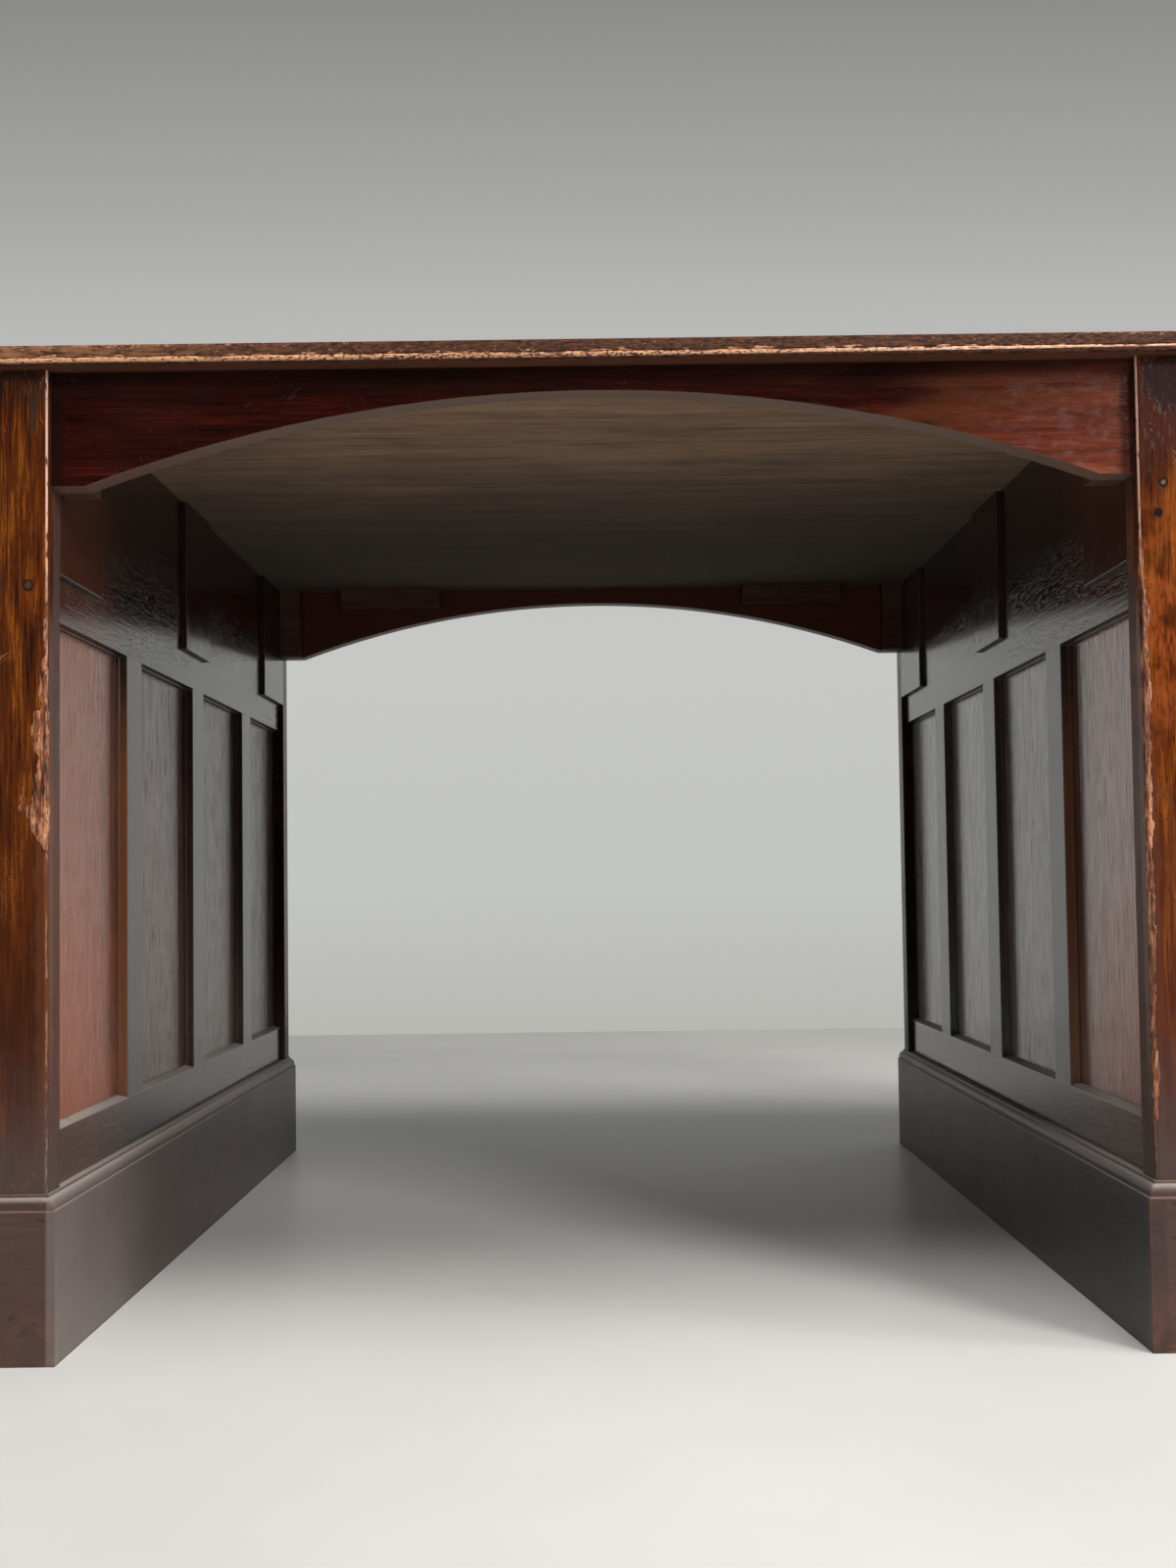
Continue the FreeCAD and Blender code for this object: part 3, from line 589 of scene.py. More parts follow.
@dataclass(frozen=True)
class WoodFinish:
    """A wood with its stain, polish, dust and wear, and painted shade in its hollows."""

    name: str
    dark: Rgb
    middle: Rgb
    light: Rgb
    bare: Rgb
    roughness: float = 0.35
    gloss: float = 0.3
    stripe: float = 0.8
    figure: float = 0.9
    pores: float = 0.7
    curl: float = 1.0
    fibre: float = 0.9
    patches: float = 0.5
    patch_colour: Rgb = (0.03, 0.012, 0.008)
    edge_radius: float = 0.0018
    edge_wear: float = 0.5
    # How strongly painted shade darkens the hollows and corners
    crevice: float = 0.6
    scratches: float = 0.35
    film: float = 0.1
    settled: float = 0.4
    dust_colour: Rgb = (0.30, 0.27, 0.25)
    relief: float = 0.15
    sheen_grain: float = 0.06
    marks: tuple[Mark, ...] = ()

    def grain_place(self, wiring: Wiring, plan: GrainPlan) -> Value:
        """Coordinates with the grain along their first part.

        Args:
            wiring: the material's wiring.
            plan: which way the grain runs.

        Returns:
            The coordinates.
        """
        x, y, z = wiring.split(wiring.place())
        own = wiring.read(wiring.put("ShaderNodeObjectInfo"), "Random") * 6.0
        lengthwise = wiring.join(x + own, y, z + own)
        crosswise = wiring.join(y + own, x, z + own)
        upright = wiring.join(z + own, x + own, y)
        wide = abs(x)
        if plan is GrainPlan.LENGTHWISE:
            return lengthwise
        if plan is GrainPlan.CROSSWISE:
            return crosswise
        if plan is GrainPlan.UPRIGHT:
            return upright
        if plan is GrainPlan.SIDE_FRAME:
            above = z > RAIL_LOW_Z
            below = z < SILL_Z
            rail = wiring.math("MAXIMUM", above, below)
            return wiring.choose(rail, upright, crosswise)
        if plan is GrainPlan.DOOR_FRAME:
            inner = wide < DOOR_INNER_X + DOOR_STILE
            outer = wide > DOOR_OUTER_X - DOOR_STILE
            stile = wiring.math("MAXIMUM", inner, outer)
            return wiring.choose(stile, lengthwise, upright)
        if plan is GrainPlan.BOX:
            middle = abs(wide - DRAWER_X) < BETWEEN_DRAWER_SIDES
            back = y > DRAWER_BACK_Y
            return wiring.choose(middle * back, crosswise, lengthwise)
        # A ring's front and rear boards lie nearer to the front or rear edge than to an end
        from_end = EDGE_X - wide
        from_edge = EDGE_Y - abs(y)
        from_kneehole = wide - PLINTH_INNER_X
        in_top = z > SOFFIT_Z - 0.001
        nearest = wiring.pick(in_top, wiring.math("MINIMUM", from_end, from_kneehole), from_end)
        across = nearest < from_edge
        return wiring.choose(across, lengthwise, crosswise)

    def adjust(self, wiring: Wiring, colour: Value) -> tuple[Value, Feed]:
        """Lays a finish's own zones over the colour, and hands out what is duller. The plain finish has none."""
        return colour, 0.0

    def coat(self, wiring: Wiring) -> Feed:
        """How much clear polish lies over the wood, none unless a finish says so."""
        return 0.0

    @cache
    def make(self, plan: GrainPlan) -> bpy.types.Material:
        """Builds the material the first time, and hands out the same one later.

        Args:
            plan: which way the grain runs.

        Returns:
            The material.
        """
        material, wiring, shader = open_material(f"{self.name}_{plan.value}")
        wiring.fill(shader, Specular_IOR_Level=self.gloss, Coat_Roughness=0.16, Coat_Weight=self.coat(wiring))
        place = self.grain_place(wiring, plan)
        grain = GRAIN.use(wiring, Place=place, Dark=self.dark, Middle=self.middle, Light=self.light,
                          Stripe=self.stripe, Figure=self.figure, Pores=self.pores, Curl=self.curl,
                          Fibre=self.fibre)
        patch = PATCHES.use(wiring, Place=place, Amount=self.patches)["Mask"]
        colour = wiring.tint(patch, grain["Colour"], wiring.tint(0.8, grain["Colour"], self.patch_colour))
        colour, duller = self.adjust(wiring, colour)
        scratch = SCRATCHES.use(wiring, Amount=self.scratches)["Mask"]
        colour = wiring.tint(scratch, colour, self.bare)
        edge = EDGE_WEAR.use(wiring, Radius=self.edge_radius, Amount=self.edge_wear)
        colour = wiring.tint(edge["Mask"], colour, self.bare)
        sunk: Feed = 0.0
        for mark in self.marks:
            colour, mask = mark.lay(wiring, colour)
            sunk = wiring.math("MAXIMUM", sunk, mask)
        # Painted shade: hollows and corners darkened toward the dark grain colour
        hollow_shade_mask = HOLLOW_SHADE.use(wiring, Amount=self.crevice)["Mask"]
        colour = wiring.tint(hollow_shade_mask, colour, self.dark)
        dust = DUST.use(wiring, Film=self.film, Settled=self.settled)["Mask"]
        colour = wiring.tint(dust, colour, self.dust_colour)
        rough = (self.roughness + patch * 0.12 + edge["Mask"] * 0.2 + dust * 0.35 + sunk * 0.35 + duller * 0.2
                 + hollow_shade_mask * 0.2 + (grain["Tone"] - 0.5) * self.sheen_grain)
        height = grain["Height"] + scratch * -0.6 + sunk * -1.2 + patch * -0.2
        bump = wiring.fill(wiring.bump(self.relief, 0.0006, height), Normal=edge["Normal"])
        wiring.fill(shader, Base_Color=colour, Normal=wiring.read(bump),
                    Roughness=wiring.math("MAXIMUM", wiring.math("MINIMUM", rough, 0.95), 0.09))
        return material


@dataclass(frozen=True)
class PostFinish(WoodFinish):
    """Polish of the corner posts, dull and dusty behind the first strip of the kneehole side."""

    dusty: Rgb = (0.085, 0.05, 0.042)
    foot: Rgb = (0.084, 0.060, 0.056)
    warm: Rgb = (0.060, 0.017, 0.008)
    # Bare wood of the rubbed arris, pale enough to serve as its painted highlight too
    rubbed: Rgb = (0.68, 0.42, 0.31)
    glow: Rgb = (0.32, 0.072, 0.017)
    deep: Rgb = (0.070, 0.020, 0.013)
    calm: Rgb = (0.075, 0.022, 0.008)
    # Painted shade on the rear posts' faces that look forward into the kneehole
    jamb: Rgb = (0.010, 0.005, 0.004)
    strip_colour: Rgb = (0.16, 0.060, 0.032)
    # Painted shadow under the overhanging top, on each post's head
    head: Rgb = (0.026, 0.011, 0.009)
    strip: float = 0.0135

    def adjust(self, wiring: Wiring, colour: Value) -> tuple[Value, Feed]:
        """Dusty inner face, rubbed arris with a painted highlight, grey foot, and painted shade on the head and rear
        jambs.

        Args:
            wiring: the material's wiring.
            colour: the colour so far.

        Returns:
            The colour, and the mask of what is duller there.
        """
        place = wiring.place()
        x, y, z = wiring.split(place)
        wide = abs(x)
        right = (x > 0.0) * (x < KNEEHOLE_POSTS_X) * (y < 0.0)
        coarse = wiring.noise(place, 40.0, 4.0)
        fine = wiring.noise(wiring.scaled(place, (1.0, 1.0, 0.25)), 420.0, 4.0)
        inner = wide < POST_INNER_X + 0.0004
        ragged = (wiring.noise(place, 60.0, 3.0) - 0.5) * 0.006
        depth = abs(y) + ragged
        behind = depth.step(POST_FRONT_Y - self.strip + 0.001, POST_FRONT_Y - self.strip - 0.001)
        rear = y.step(0.48, 0.486)
        dull = inner * behind * (1.0 - rear)
        colour = wiring.tint(inner * (1.0 - behind) * 0.7, colour, self.warm)
        colour = wiring.tint(wiring.math("MAXIMUM", dull, rear * inner) * 0.85, colour, self.dusty)
        # Painted shade: the rear posts' forward-facing steps beside the side frame
        forward = wiring.facing(1, -0.5, -0.8)
        colour = wiring.tint(rear * forward * wide.step(0.445, 0.435) * 0.9, colour, self.jamb)
        edge = (coarse - 0.5) * 0.012 + wide
        beside = edge.step(POST_INNER_X + 0.011, POST_INNER_X + 0.007) * z.step(0.46, 0.4) * y.step(-0.48, -0.51)
        colour = wiring.tint(beside * 0.6, colour, self.strip_colour)
        front = y < 0.0
        middle = right * front * z.step(0.665, 0.6) * z.step(0.42, 0.5)
        colour = wiring.tint(middle * coarse.step(0.62, 0.42) * fine.step(0.32, 0.58) * 0.65, colour, self.glow)
        sunken = right * (coarse * 0.1 + z).step(0.5, 0.4)
        colour = wiring.tint(sunken * 0.6, colour, self.deep)
        calm = (1.0 - right) * z.step(0.5, 0.34) * front
        colour = wiring.tint(calm * 0.5, colour, self.calm)
        low = (z + wiring.noise(place, 22.0, 4.0) * 0.1).step(0.3, 0.17)
        colour = wiring.tint(low * 0.88, colour, self.foot)
        # Painted shadow under the overhanging top darkens each post's head; on the right post it reaches lower and is
        # mixed with a ruddier dark brown
        limit = right * -0.066 + 0.752
        above = coarse * 0.07 + z - limit
        high = above.step(0.0, 0.035)
        ruddy = wiring.tint(right * 0.8, self.head, self.deep)
        colour = wiring.tint(high * 0.85, colour, wiring.tint(fine.step(0.55, 0.66), ruddy, self.foot))
        # Rubbed arris on the kneehole corner: worn bare wood, and a painted highlight along the rounding, brightest
        # high up
        sideways = abs(wiring.split(wiring.normal())[0])
        arris = (wide.step(POST_INNER_X + 0.006, POST_INNER_X + 0.003) * front * sideways.step(0.36, 0.52)
                 * sideways.step(0.95, 0.82))
        upper = (coarse * 0.12 + z).step(0.6, 0.7)
        broken = (upper * 0.12 + fine).step(0.46, 0.58)
        colour = wiring.tint(arris * (broken * 0.45 + 0.4) * z.step(0.17, 0.26), colour, self.strip_colour)
        colour = wiring.tint(arris * broken * (upper * 0.75 + 0.2), colour, self.rubbed)
        return colour, wiring.math("MAXIMUM", dull, low)


@dataclass(frozen=True)
class ApronFinish(WoodFinish):
    """Dark apron: painted sheen at its right end, painted shadow at its ends and top, brown and dry under the arch,
    lighter behind.
    """

    # Painted sheen: pale red where the right end reflects the right-front light
    milky: Rgb = (0.38, 0.088, 0.044)
    dry: Rgb = (0.125, 0.068, 0.043)
    rear: Rgb = (0.105, 0.036, 0.023)
    # Painted shadow of the posts and the overhanging top
    shade: Rgb = (0.010, 0.004, 0.003)
    # Painted haze of sheen near the right post
    bloom: Rgb = (0.20, 0.120, 0.115)
    # Painted light: orange glow in the lit right half
    warm: Rgb = (0.20, 0.062, 0.020)

    def adjust(self, wiring: Wiring, colour: Value) -> tuple[Value, Feed]:
        """Painted sheen over the right end, painted shadow along the margins and under the top, the dry arch and the
        lighter back.

        Args:
            wiring: the material's wiring.
            colour: the colour so far.

        Returns:
            The colour, and the mask of what is duller there.
        """
        place = wiring.place()
        x, y, z = wiring.split(place)
        cloud = wiring.noise(wiring.scaled(place, (0.5, 1.0, 1.6)), 9.0, 4.0)
        front = y < 0.0
        # Painted sheen: the right end's reflection of the right-front light, streaked, with an orange lit band and a
        # pale haze near the post
        reach = (cloud - 0.5) * 0.35 + x
        end = front * reach.step(0.21, 0.44)
        streaks = wiring.noise(wiring.scaled(place, (7.0, 1.0, 70.0)), 1.0, 7.0, 0.8).step(0.34, 0.66)
        colour = wiring.tint(end * (streaks * 0.62 + 0.26), colour, self.milky)
        glow = wiring.noise(wiring.scaled(place, (9.0, 1.0, 30.0)), 1.0, 6.0, 0.6).step(0.46, 0.64)
        amber = front * reach.step(0.1, 0.2) * reach.step(0.38, 0.26) * glow * 0.28
        colour = wiring.tint(amber, colour, self.warm)
        cloudy = wiring.noise(wiring.scaled(place, (1.0, 1.0, 1.5)), 110.0, 7.0, 0.2)
        haze = front * x.step(0.27, 0.36) * cloudy.step(0.44, 0.7) * 0.26
        colour = wiring.tint(haze, colour, self.bloom)
        wide = abs(x)
        # Painted shadow: the posts' shadow along both ends, and the top's shadow just below the soffit
        margin = front * wide.step(0.401, 0.408)
        top = front * z.step(SOFFIT_Z - 0.034, SOFFIT_Z - 0.002)
        colour = wiring.tint(wiring.math("MAXIMUM", margin, top) * 0.75, colour, self.shade)
        colour = wiring.tint((1.0 - front) * 0.7, colour, self.rear)
        under = wiring.facing(2, -0.35, -0.6)
        return wiring.tint(under * front * 0.9, colour, self.dry), under


@dataclass(frozen=True)
class SideFinish(WoodFinish):
    """Glossy kneehole side: warm and lighter next to the front posts with painted light, painted sheen far on the
    right, painted shade underneath.
    """

    # Warm, lighter colour next to the front posts, partly painted light from the front
    near: Rgb = (0.12, 0.040, 0.022)
    near_share: float = 0.6
    low_dust: float = 0.9
    # Lighter brown on forward-facing faces: painted light from the front
    jamb: Rgb = (0.20, 0.070, 0.026)
    # Pale grey painted sheen on the right side's far part
    veil: Rgb = (0.20, 0.185, 0.175)
    right_veil: float = 0.0
    near_dull: float = 0.0
    right_coat: float = 0.0
    # Red painted light, low on the nearest panel
    ember: Rgb = (0.32, 0.052, 0.006)
    ember_share: float = 0.0

    def glowing(self, wiring: Wiring) -> Value:
        """Where painted light makes the nearest panel reddest, low down."""
        _, y, z = wiring.split(wiring.place())
        return y.step(-0.27, -0.36) * z.step(0.42, 0.24)

    def coat(self, wiring: Wiring) -> Feed:
        """More polish on the right pedestal's side, less of it where the painted light is reddest."""
        if not self.right_coat:
            return 0.0
        right = wiring.split(wiring.place())[0].step(0.0, 0.1)
        return right * (self.glowing(wiring) * -0.5 + 1.0) * self.right_coat

    def adjust(self, wiring: Wiring, colour: Value) -> tuple[Value, Feed]:
        """Warm front part with painted light, painted sheen far on the right, lit jambs and painted shade below.

        Args:
            wiring: the material's wiring.
            colour: the colour so far.

        Returns:
            The colour, and the mask of what is duller there.
        """
        place = wiring.place()
        x, y, z = wiring.split(place)
        cloud = (wiring.noise(place, 12.0, 4.0) - 0.5) * 0.14
        reach = y + cloud
        # Painted light: lighter and warmer near the front, reddest low on the nearest panel
        near = reach.step(-0.27, -0.36)
        left = x < 0.0
        colour = wiring.tint(near * self.near_share, colour, self.near)
        colour = wiring.tint(self.glowing(wiring) * self.ember_share, colour, self.ember)
        # Painted sheen: a pale grey veil over the right side's far part
        far = x.step(0.0, 0.1) * reach.step(-0.3, 0.4) * self.right_veil
        colour = wiring.tint(far, colour, self.veil)
        # Painted light: forward-facing faces lighter near the front, below the rail
        forward = wiring.facing(1, -0.5, -0.8) * reach.step(0.0, -0.3) * z.step(RAIL_LOW_Z, RAIL_LOW_Z - 0.12)
        colour = wiring.tint(forward * 0.75, colour, self.jamb)
        crumbs = wiring.noise(place, 130.0, 5.0).step(0.36, 0.56)
        low = wiring.facing(2, 0.3, 0.8) * crumbs * self.low_dust
        # Painted shade: faces that look down are darkened
        under = wiring.facing(2, -0.5, -0.9)
        colour = wiring.tint(under * 0.8, colour, self.dark)
        duller = low + under * 1.5 + near * left * self.near_dull
        return wiring.tint(low, colour, self.dust_colour), duller


@dataclass(frozen=True)
class PlinthFinish(WoodFinish):
    """Plinth, with painted shade on the right pedestal's kneehole side toward the front and painted sheen on the
    left's.
    """

    # Painted shade on the right plinth's kneehole side toward the front
    shade: Rgb = (0.010, 0.008, 0.008)
    warm: Rgb = (0.095, 0.040, 0.030)
    # Pale painted sheen on the left plinth's kneehole side
    veil: Rgb = (0.20, 0.165, 0.155)
    scuffed: Rgb = (0.19, 0.066, 0.036)
    bruise: Rgb = (0.016, 0.008, 0.007)

    def adjust(self, wiring: Wiring, colour: Value) -> tuple[Value, Feed]:
        """Painted shade on the front part of the right kneehole side, painted sheen on the left's, scuffed wood low on
        the front faces.

        Args:
            wiring: the material's wiring.
            colour: the colour so far.

        Returns:
            The colour, and the mask of what is duller there.
        """
        place = wiring.place()
        x, y, z = wiring.split(place)
        ragged = (wiring.noise(place, 10.0, 3.0) - 0.5) * 0.2 + y
        # Painted shade: the right plinth's kneehole side darkened toward the front
        side = x.step(0.4, 0.4065) * x.step(0.421, 0.4175)
        dark = side * ragged.step(-0.05, -0.4) * z.step(0.122, 0.105)
        colour = wiring.tint(dark * 0.9, colour, self.shade)
        front = y.step(-0.515, -0.525)
        colour = wiring.tint(front * 0.45, colour, self.warm)
        rubs = wiring.noise(wiring.scaled(place, (1.0, 1.0, 0.6)), 34.0, 6.0, 0.4)
        corner = abs(x).step(0.47, 0.415)
        low = (rubs * 0.05 + z).step(0.085, 0.03)
        colour = wiring.tint(front * low * corner * rubs.step(0.4, 0.6) * 0.75, colour, self.scuffed)
        dents = wiring.noise(wiring.scaled(place, (0.5, 1.0, 1.3)), 95.0, 5.0, 0.3).step(0.6, 0.7)
        colour = wiring.tint(front * dents * 0.7, colour, self.bruise)
        # Painted sheen: the left plinth's kneehole side paler toward the front
        pale = x.step(-0.4, -0.4065) * x.step(-0.4145, -0.412) * ragged.step(-0.2, -0.5)
        return wiring.tint(pale * 0.6, colour, self.veil), 0.0


@dataclass(frozen=True)
class EdgeFinish(WoodFinish):
    """The top's edge: a dark worn band over a bead that is rubbed to the bare wood."""

    band: Rgb = (0.075, 0.028, 0.015)
    bead: Rgb = (0.36, 0.155, 0.07)
    under_bead: Rgb = (0.13, 0.05, 0.027)
    pale: Rgb = (0.80, 0.54, 0.42)

    def adjust(self, wiring: Wiring, colour: Value) -> tuple[Value, Feed]:
        """Band and bead by height on the edge.

        Args:
            wiring: the material's wiring.
            colour: the colour so far.

        Returns:
            The colour, and the mask of what is duller there.
        """
        place = wiring.place()
        x, y, z = wiring.split(place)
        crumbs = wiring.noise(wiring.scaled(place, (0.55, 0.55, 1.0)), 620.0, 4.0)
        long_noise = wiring.noise(wiring.scaled(place, (0.5, 0.5, 2.0)), 130.0, 5.0)
        drift = wiring.noise(place, 3.2, 3.0)
        height = (long_noise - 0.5) * 0.013 + z
        outside = wiring.math("MAXIMUM", abs(y).step(EDGE_Y - 0.006, EDGE_Y - 0.0048),
                              abs(x).step(EDGE_X - 0.006, EDGE_X - 0.0048))
        band = outside * height.step(SOFFIT_Z + 0.005, SOFFIT_Z + 0.0056)
        thin = x.step(-0.25, 0.5) * 0.002
        floor = drift * 0.0035 + (SOFFIT_Z - 0.0012) + thin
        lower = outside * (z - floor).step(0.0006, -0.0002)
        streaks = wiring.noise(wiring.scaled(place, (0.5, 0.5, 1.5)), 420.0, 5.0)
        colour = wiring.tint(band * 0.92, colour, wiring.tint(streaks.step(0.3, 0.7), self.dark, self.band))
        worn = band * x.step(-0.15, -0.5) * long_noise.step(0.4, 0.62) * 0.45
        colour = wiring.tint(worn, colour, self.bead)
        upper = z.step(SOFFIT_Z + 0.01, SOFFIT_Z + 0.0135) * drift.step(0.4, 0.62)
        fleck = (upper * 0.11 + crumbs).step(0.65, 0.74)
        colour = wiring.tint(band * fleck * 0.65, colour, self.bead)
        bead = outside * (1.0 - band) * (1.0 - lower)
        reach = crumbs + drift * 0.4 + x.step(-0.1, 0.35) * 0.11
        rubbed = bead * reach.step(0.6, 0.72)
        bare = wiring.tint(x.step(0.0, 0.35), self.bare, self.pale)
        colour = wiring.tint(rubbed, colour, wiring.tint(streaks.step(0.35, 0.7), self.bead, bare))
        colour = wiring.tint(lower * 0.9, colour, wiring.tint(streaks.step(0.35, 0.6), self.dark, self.under_bead))
        below = wiring.facing(2, -0.6, -0.95) * (1.0 - outside)
        colour = wiring.tint(below * 0.8, colour, self.under_bead)
        return colour, wiring.math("MAXIMUM", band, bead)


@dataclass(frozen=True)
class UndersideFinish(WoodFinish):
    """Bare boards of the top, greyed by dust, with dark lines where they join and painted shade toward the rear."""

    # Painted shade that darkens the boards toward the rear
    soot: Rgb = (0.052, 0.040, 0.031)

    def adjust(self, wiring: Wiring, colour: Value) -> tuple[Value, Feed]:
        """Joint lines, a random tone for each board, painted shade toward the rear and polish on faces that look up.

        Args:
            wiring: the material's wiring.
            colour: the colour so far.

        Returns:
            The colour, and the mask of what is duller there.
        """
        place = wiring.place()
        y = wiring.split(place)[1]
        count = (y + BOARDS_Y) / BOARD_WIDTH
        part = wiring.math("FRACT", count)
        near = wiring.math("MINIMUM", part, 1.0 - part)
        line = near.step(0.0045, 0.0015)
        board = wiring.put("ShaderNodeTexWhiteNoise", noise_dimensions="1D")
        wiring.feed(board.inputs["W"], wiring.math("FLOOR", count))
        shade = wiring.read(board, "Value") * 0.35
        colour = wiring.tint(shade, colour, self.dark)
        # Painted shade: darker toward the rear, with a wavering edge
        shade_waver = wiring.noise(wiring.scaled(place, (1.6, 9.0, 9.0)), 3.0, 5.0)
        rear = (shade_waver - 0.5) * -0.35 + y
        colour = wiring.tint(rear.step(-0.5, 0.22) * 0.93, colour, self.soot)
        colour = wiring.tint(line * 0.7, colour, self.dark)
        top = wiring.facing(2, 0.4, 0.8)
        polish = GRAIN.use(wiring, Place=self.grain_place(wiring, GrainPlan.LENGTHWISE), Dark=POLISHED.dark,
                           Middle=POLISHED.middle, Light=POLISHED.light, Stripe=0.9, Figure=1.2, Pores=0.6)
        return wiring.tint(top, colour, polish["Colour"]), top * -2.6 + 0.6


POLISHED = WoodFinish(
    "polished_mahogany", dark=(0.030, 0.008, 0.004), middle=(0.13, 0.034, 0.012), light=(0.30, 0.10, 0.030),
    bare=(0.36, 0.15, 0.075), figure=1.2, stripe=1.0, patches=0.45, edge_wear=0.45, film=0.02, gloss=0.3,
)
DRAWER = WoodFinish(
    "drawer_mahogany", dark=(0.026, 0.007, 0.004), middle=(0.130, 0.034, 0.011), light=(0.30, 0.098, 0.030),
    bare=(0.38, 0.16, 0.08), figure=1.4, stripe=0.9, patches=0.35, edge_wear=0.45, film=0.02, gloss=0.3,
)
BEAD = WoodFinish(
    "bead_mahogany", dark=(0.010, 0.004, 0.003), middle=(0.035, 0.011, 0.006), light=(0.09, 0.028, 0.012),
    bare=(0.28, 0.12, 0.06), roughness=0.28, gloss=0.35, patches=0.3, edge_radius=0.0008, edge_wear=0.5, film=0.0,
)
POST = PostFinish(
    "post_mahogany", dark=(0.022, 0.007, 0.004), middle=(0.110, 0.024, 0.004), light=(0.33, 0.088, 0.010),
    bare=(0.36, 0.15, 0.08), stripe=0.8, figure=1.9, curl=1.5, fibre=1.25, pores=1.0, patches=0.7,
    edge_radius=0.003, edge_wear=0.6, roughness=0.18, gloss=0.07, scratches=0.6, film=0.0, relief=0.3,
    marks=(
        Mark((-0.4295, -0.5195, 0.5845), (0.0045, 0.006, 0.0048), (0.020, 0.009, 0.007), 0.9, 0.3),
        Mark((-0.4292, -0.5195, 0.5848), (0.0026, 0.006, 0.0028), (0.090, 0.040, 0.026), 0.8, 0.3),
        Mark((-0.4255, -0.5195, 0.7175), (0.0034, 0.006, 0.0150), (0.040, 0.022, 0.015), 0.85, 0.5),
        Mark((0.4335, -0.5195, 0.6520), (0.0040, 0.006, 0.0042), (0.012, 0.006, 0.005), 0.85, 0.3),
        Mark((0.4340, -0.5195, 0.6525), (0.0016, 0.006, 0.0018), (0.20, 0.12, 0.08), 0.8, 0.6),
        Mark((0.4297, -0.5195, 0.6290), (0.0034, 0.006, 0.0036), (0.008, 0.005, 0.005), 0.95, 0.2),
        Mark((0.4420, -0.5195, 0.7300), (0.0200, 0.006, 0.0220), (0.012, 0.008, 0.009), 0.7, 0.9),
    ),
)
TORN = WoodFinish(
    "torn_mahogany", dark=(0.05, 0.014, 0.006), middle=(0.28, 0.085, 0.034), light=(0.60, 0.26, 0.13),
    bare=(0.76, 0.46, 0.31), roughness=0.38, gloss=0.5, stripe=1.8, figure=1.4, curl=4.0, fibre=2.2, pores=1.0,
    patches=0.5, patch_colour=(0.035, 0.011, 0.007), edge_radius=0.0007, edge_wear=0.55, crevice=0.8,
    scratches=0.0, film=0.0, settled=0.0, relief=1.0,
)
APRON = ApronFinish(
    "apron_mahogany", dark=(0.010, 0.0015, 0.001), middle=(0.030, 0.0035, 0.002), light=(0.080, 0.012, 0.006),
    bare=(0.34, 0.17, 0.125), roughness=0.20, gloss=0.14, stripe=0.7, figure=1.2, curl=1.3, fibre=1.2, patches=0.35,
    edge_radius=0.0012, edge_wear=0.9, scratches=0.12, film=0.0, relief=0.2,
)
KNEEHOLE = SideFinish(
    "kneehole_mahogany", dark=(0.008, 0.004, 0.004), middle=(0.024, 0.010, 0.008), light=(0.050, 0.020, 0.015),
    bare=(0.20, 0.11, 0.08), roughness=0.125, gloss=0.66, stripe=0.9, figure=0.6, pores=1.0, patches=0.3,
    edge_wear=0.5, film=0.0, settled=0.8, scratches=0.2, dust_colour=(0.34, 0.30, 0.27), near=(0.095, 0.028, 0.014),
    relief=0.17, sheen_grain=0.12, right_veil=0.1,
)
PANEL = SideFinish(
    "panel_mahogany", dark=(0.030, 0.013, 0.010), middle=(0.090, 0.040, 0.030), light=(0.175, 0.086, 0.064),
    bare=(0.22, 0.12, 0.09), roughness=0.15, gloss=0.92, stripe=2.0, figure=0.5, curl=0.4, fibre=2.4, pores=1.0,
    patches=0.12, edge_wear=0.2, film=0.02, settled=0.8, scratches=0.1, dust_colour=(0.26, 0.23, 0.21),
    near=(0.31, 0.090, 0.036), near_share=0.8, relief=0.5, sheen_grain=0.25, right_veil=0.85,
    veil=(0.30, 0.285, 0.275), near_dull=0.5, right_coat=0.40, ember_share=0.6,
)
PLINTH = PlinthFinish(
    "plinth_mahogany", dark=(0.018, 0.010, 0.009), middle=(0.046, 0.025, 0.021), light=(0.085, 0.048, 0.039),
    bare=(0.26, 0.14, 0.095), roughness=0.36, gloss=0.35, stripe=0.7, figure=0.6, pores=0.5, patches=0.3,
    edge_radius=0.0024, edge_wear=0.85, film=0.04, settled=1.1, scratches=0.45, relief=0.3, sheen_grain=0.12,
)
EDGE = EdgeFinish(
    "edge_mahogany", dark=(0.028, 0.011, 0.007), middle=(0.10, 0.042, 0.026), light=(0.19, 0.085, 0.05),
    bare=(0.64, 0.36, 0.20), roughness=0.36, gloss=0.12, patches=0.3, edge_radius=0.0005, edge_wear=0.1,
    scratches=0.3, film=0.0, settled=0.0, relief=0.4, band=(0.125, 0.050, 0.028), bead=(0.52, 0.245, 0.125),
    under_bead=(0.105, 0.040, 0.022),
)
UNDERSIDE = UndersideFinish(
    "bare_boards", dark=(0.11, 0.066, 0.039), middle=(0.34, 0.210, 0.126), light=(0.50, 0.325, 0.205),
    bare=(0.26, 0.2, 0.15), roughness=0.75, gloss=0.12, figure=0.85, stripe=0.85, fibre=1.1, pores=0.7, patches=0.3,
    edge_wear=0.2, film=0.12, settled=0.05, scratches=0.35, dust_colour=(0.25, 0.22, 0.19),
)
BLOCKS = WoodFinish(
    "block_pine", dark=(0.028, 0.012, 0.009), middle=(0.075, 0.030, 0.020), light=(0.12, 0.052, 0.035),
    bare=(0.16, 0.09, 0.06), roughness=0.7, gloss=0.15, film=0.05, edge_wear=0.3,
)
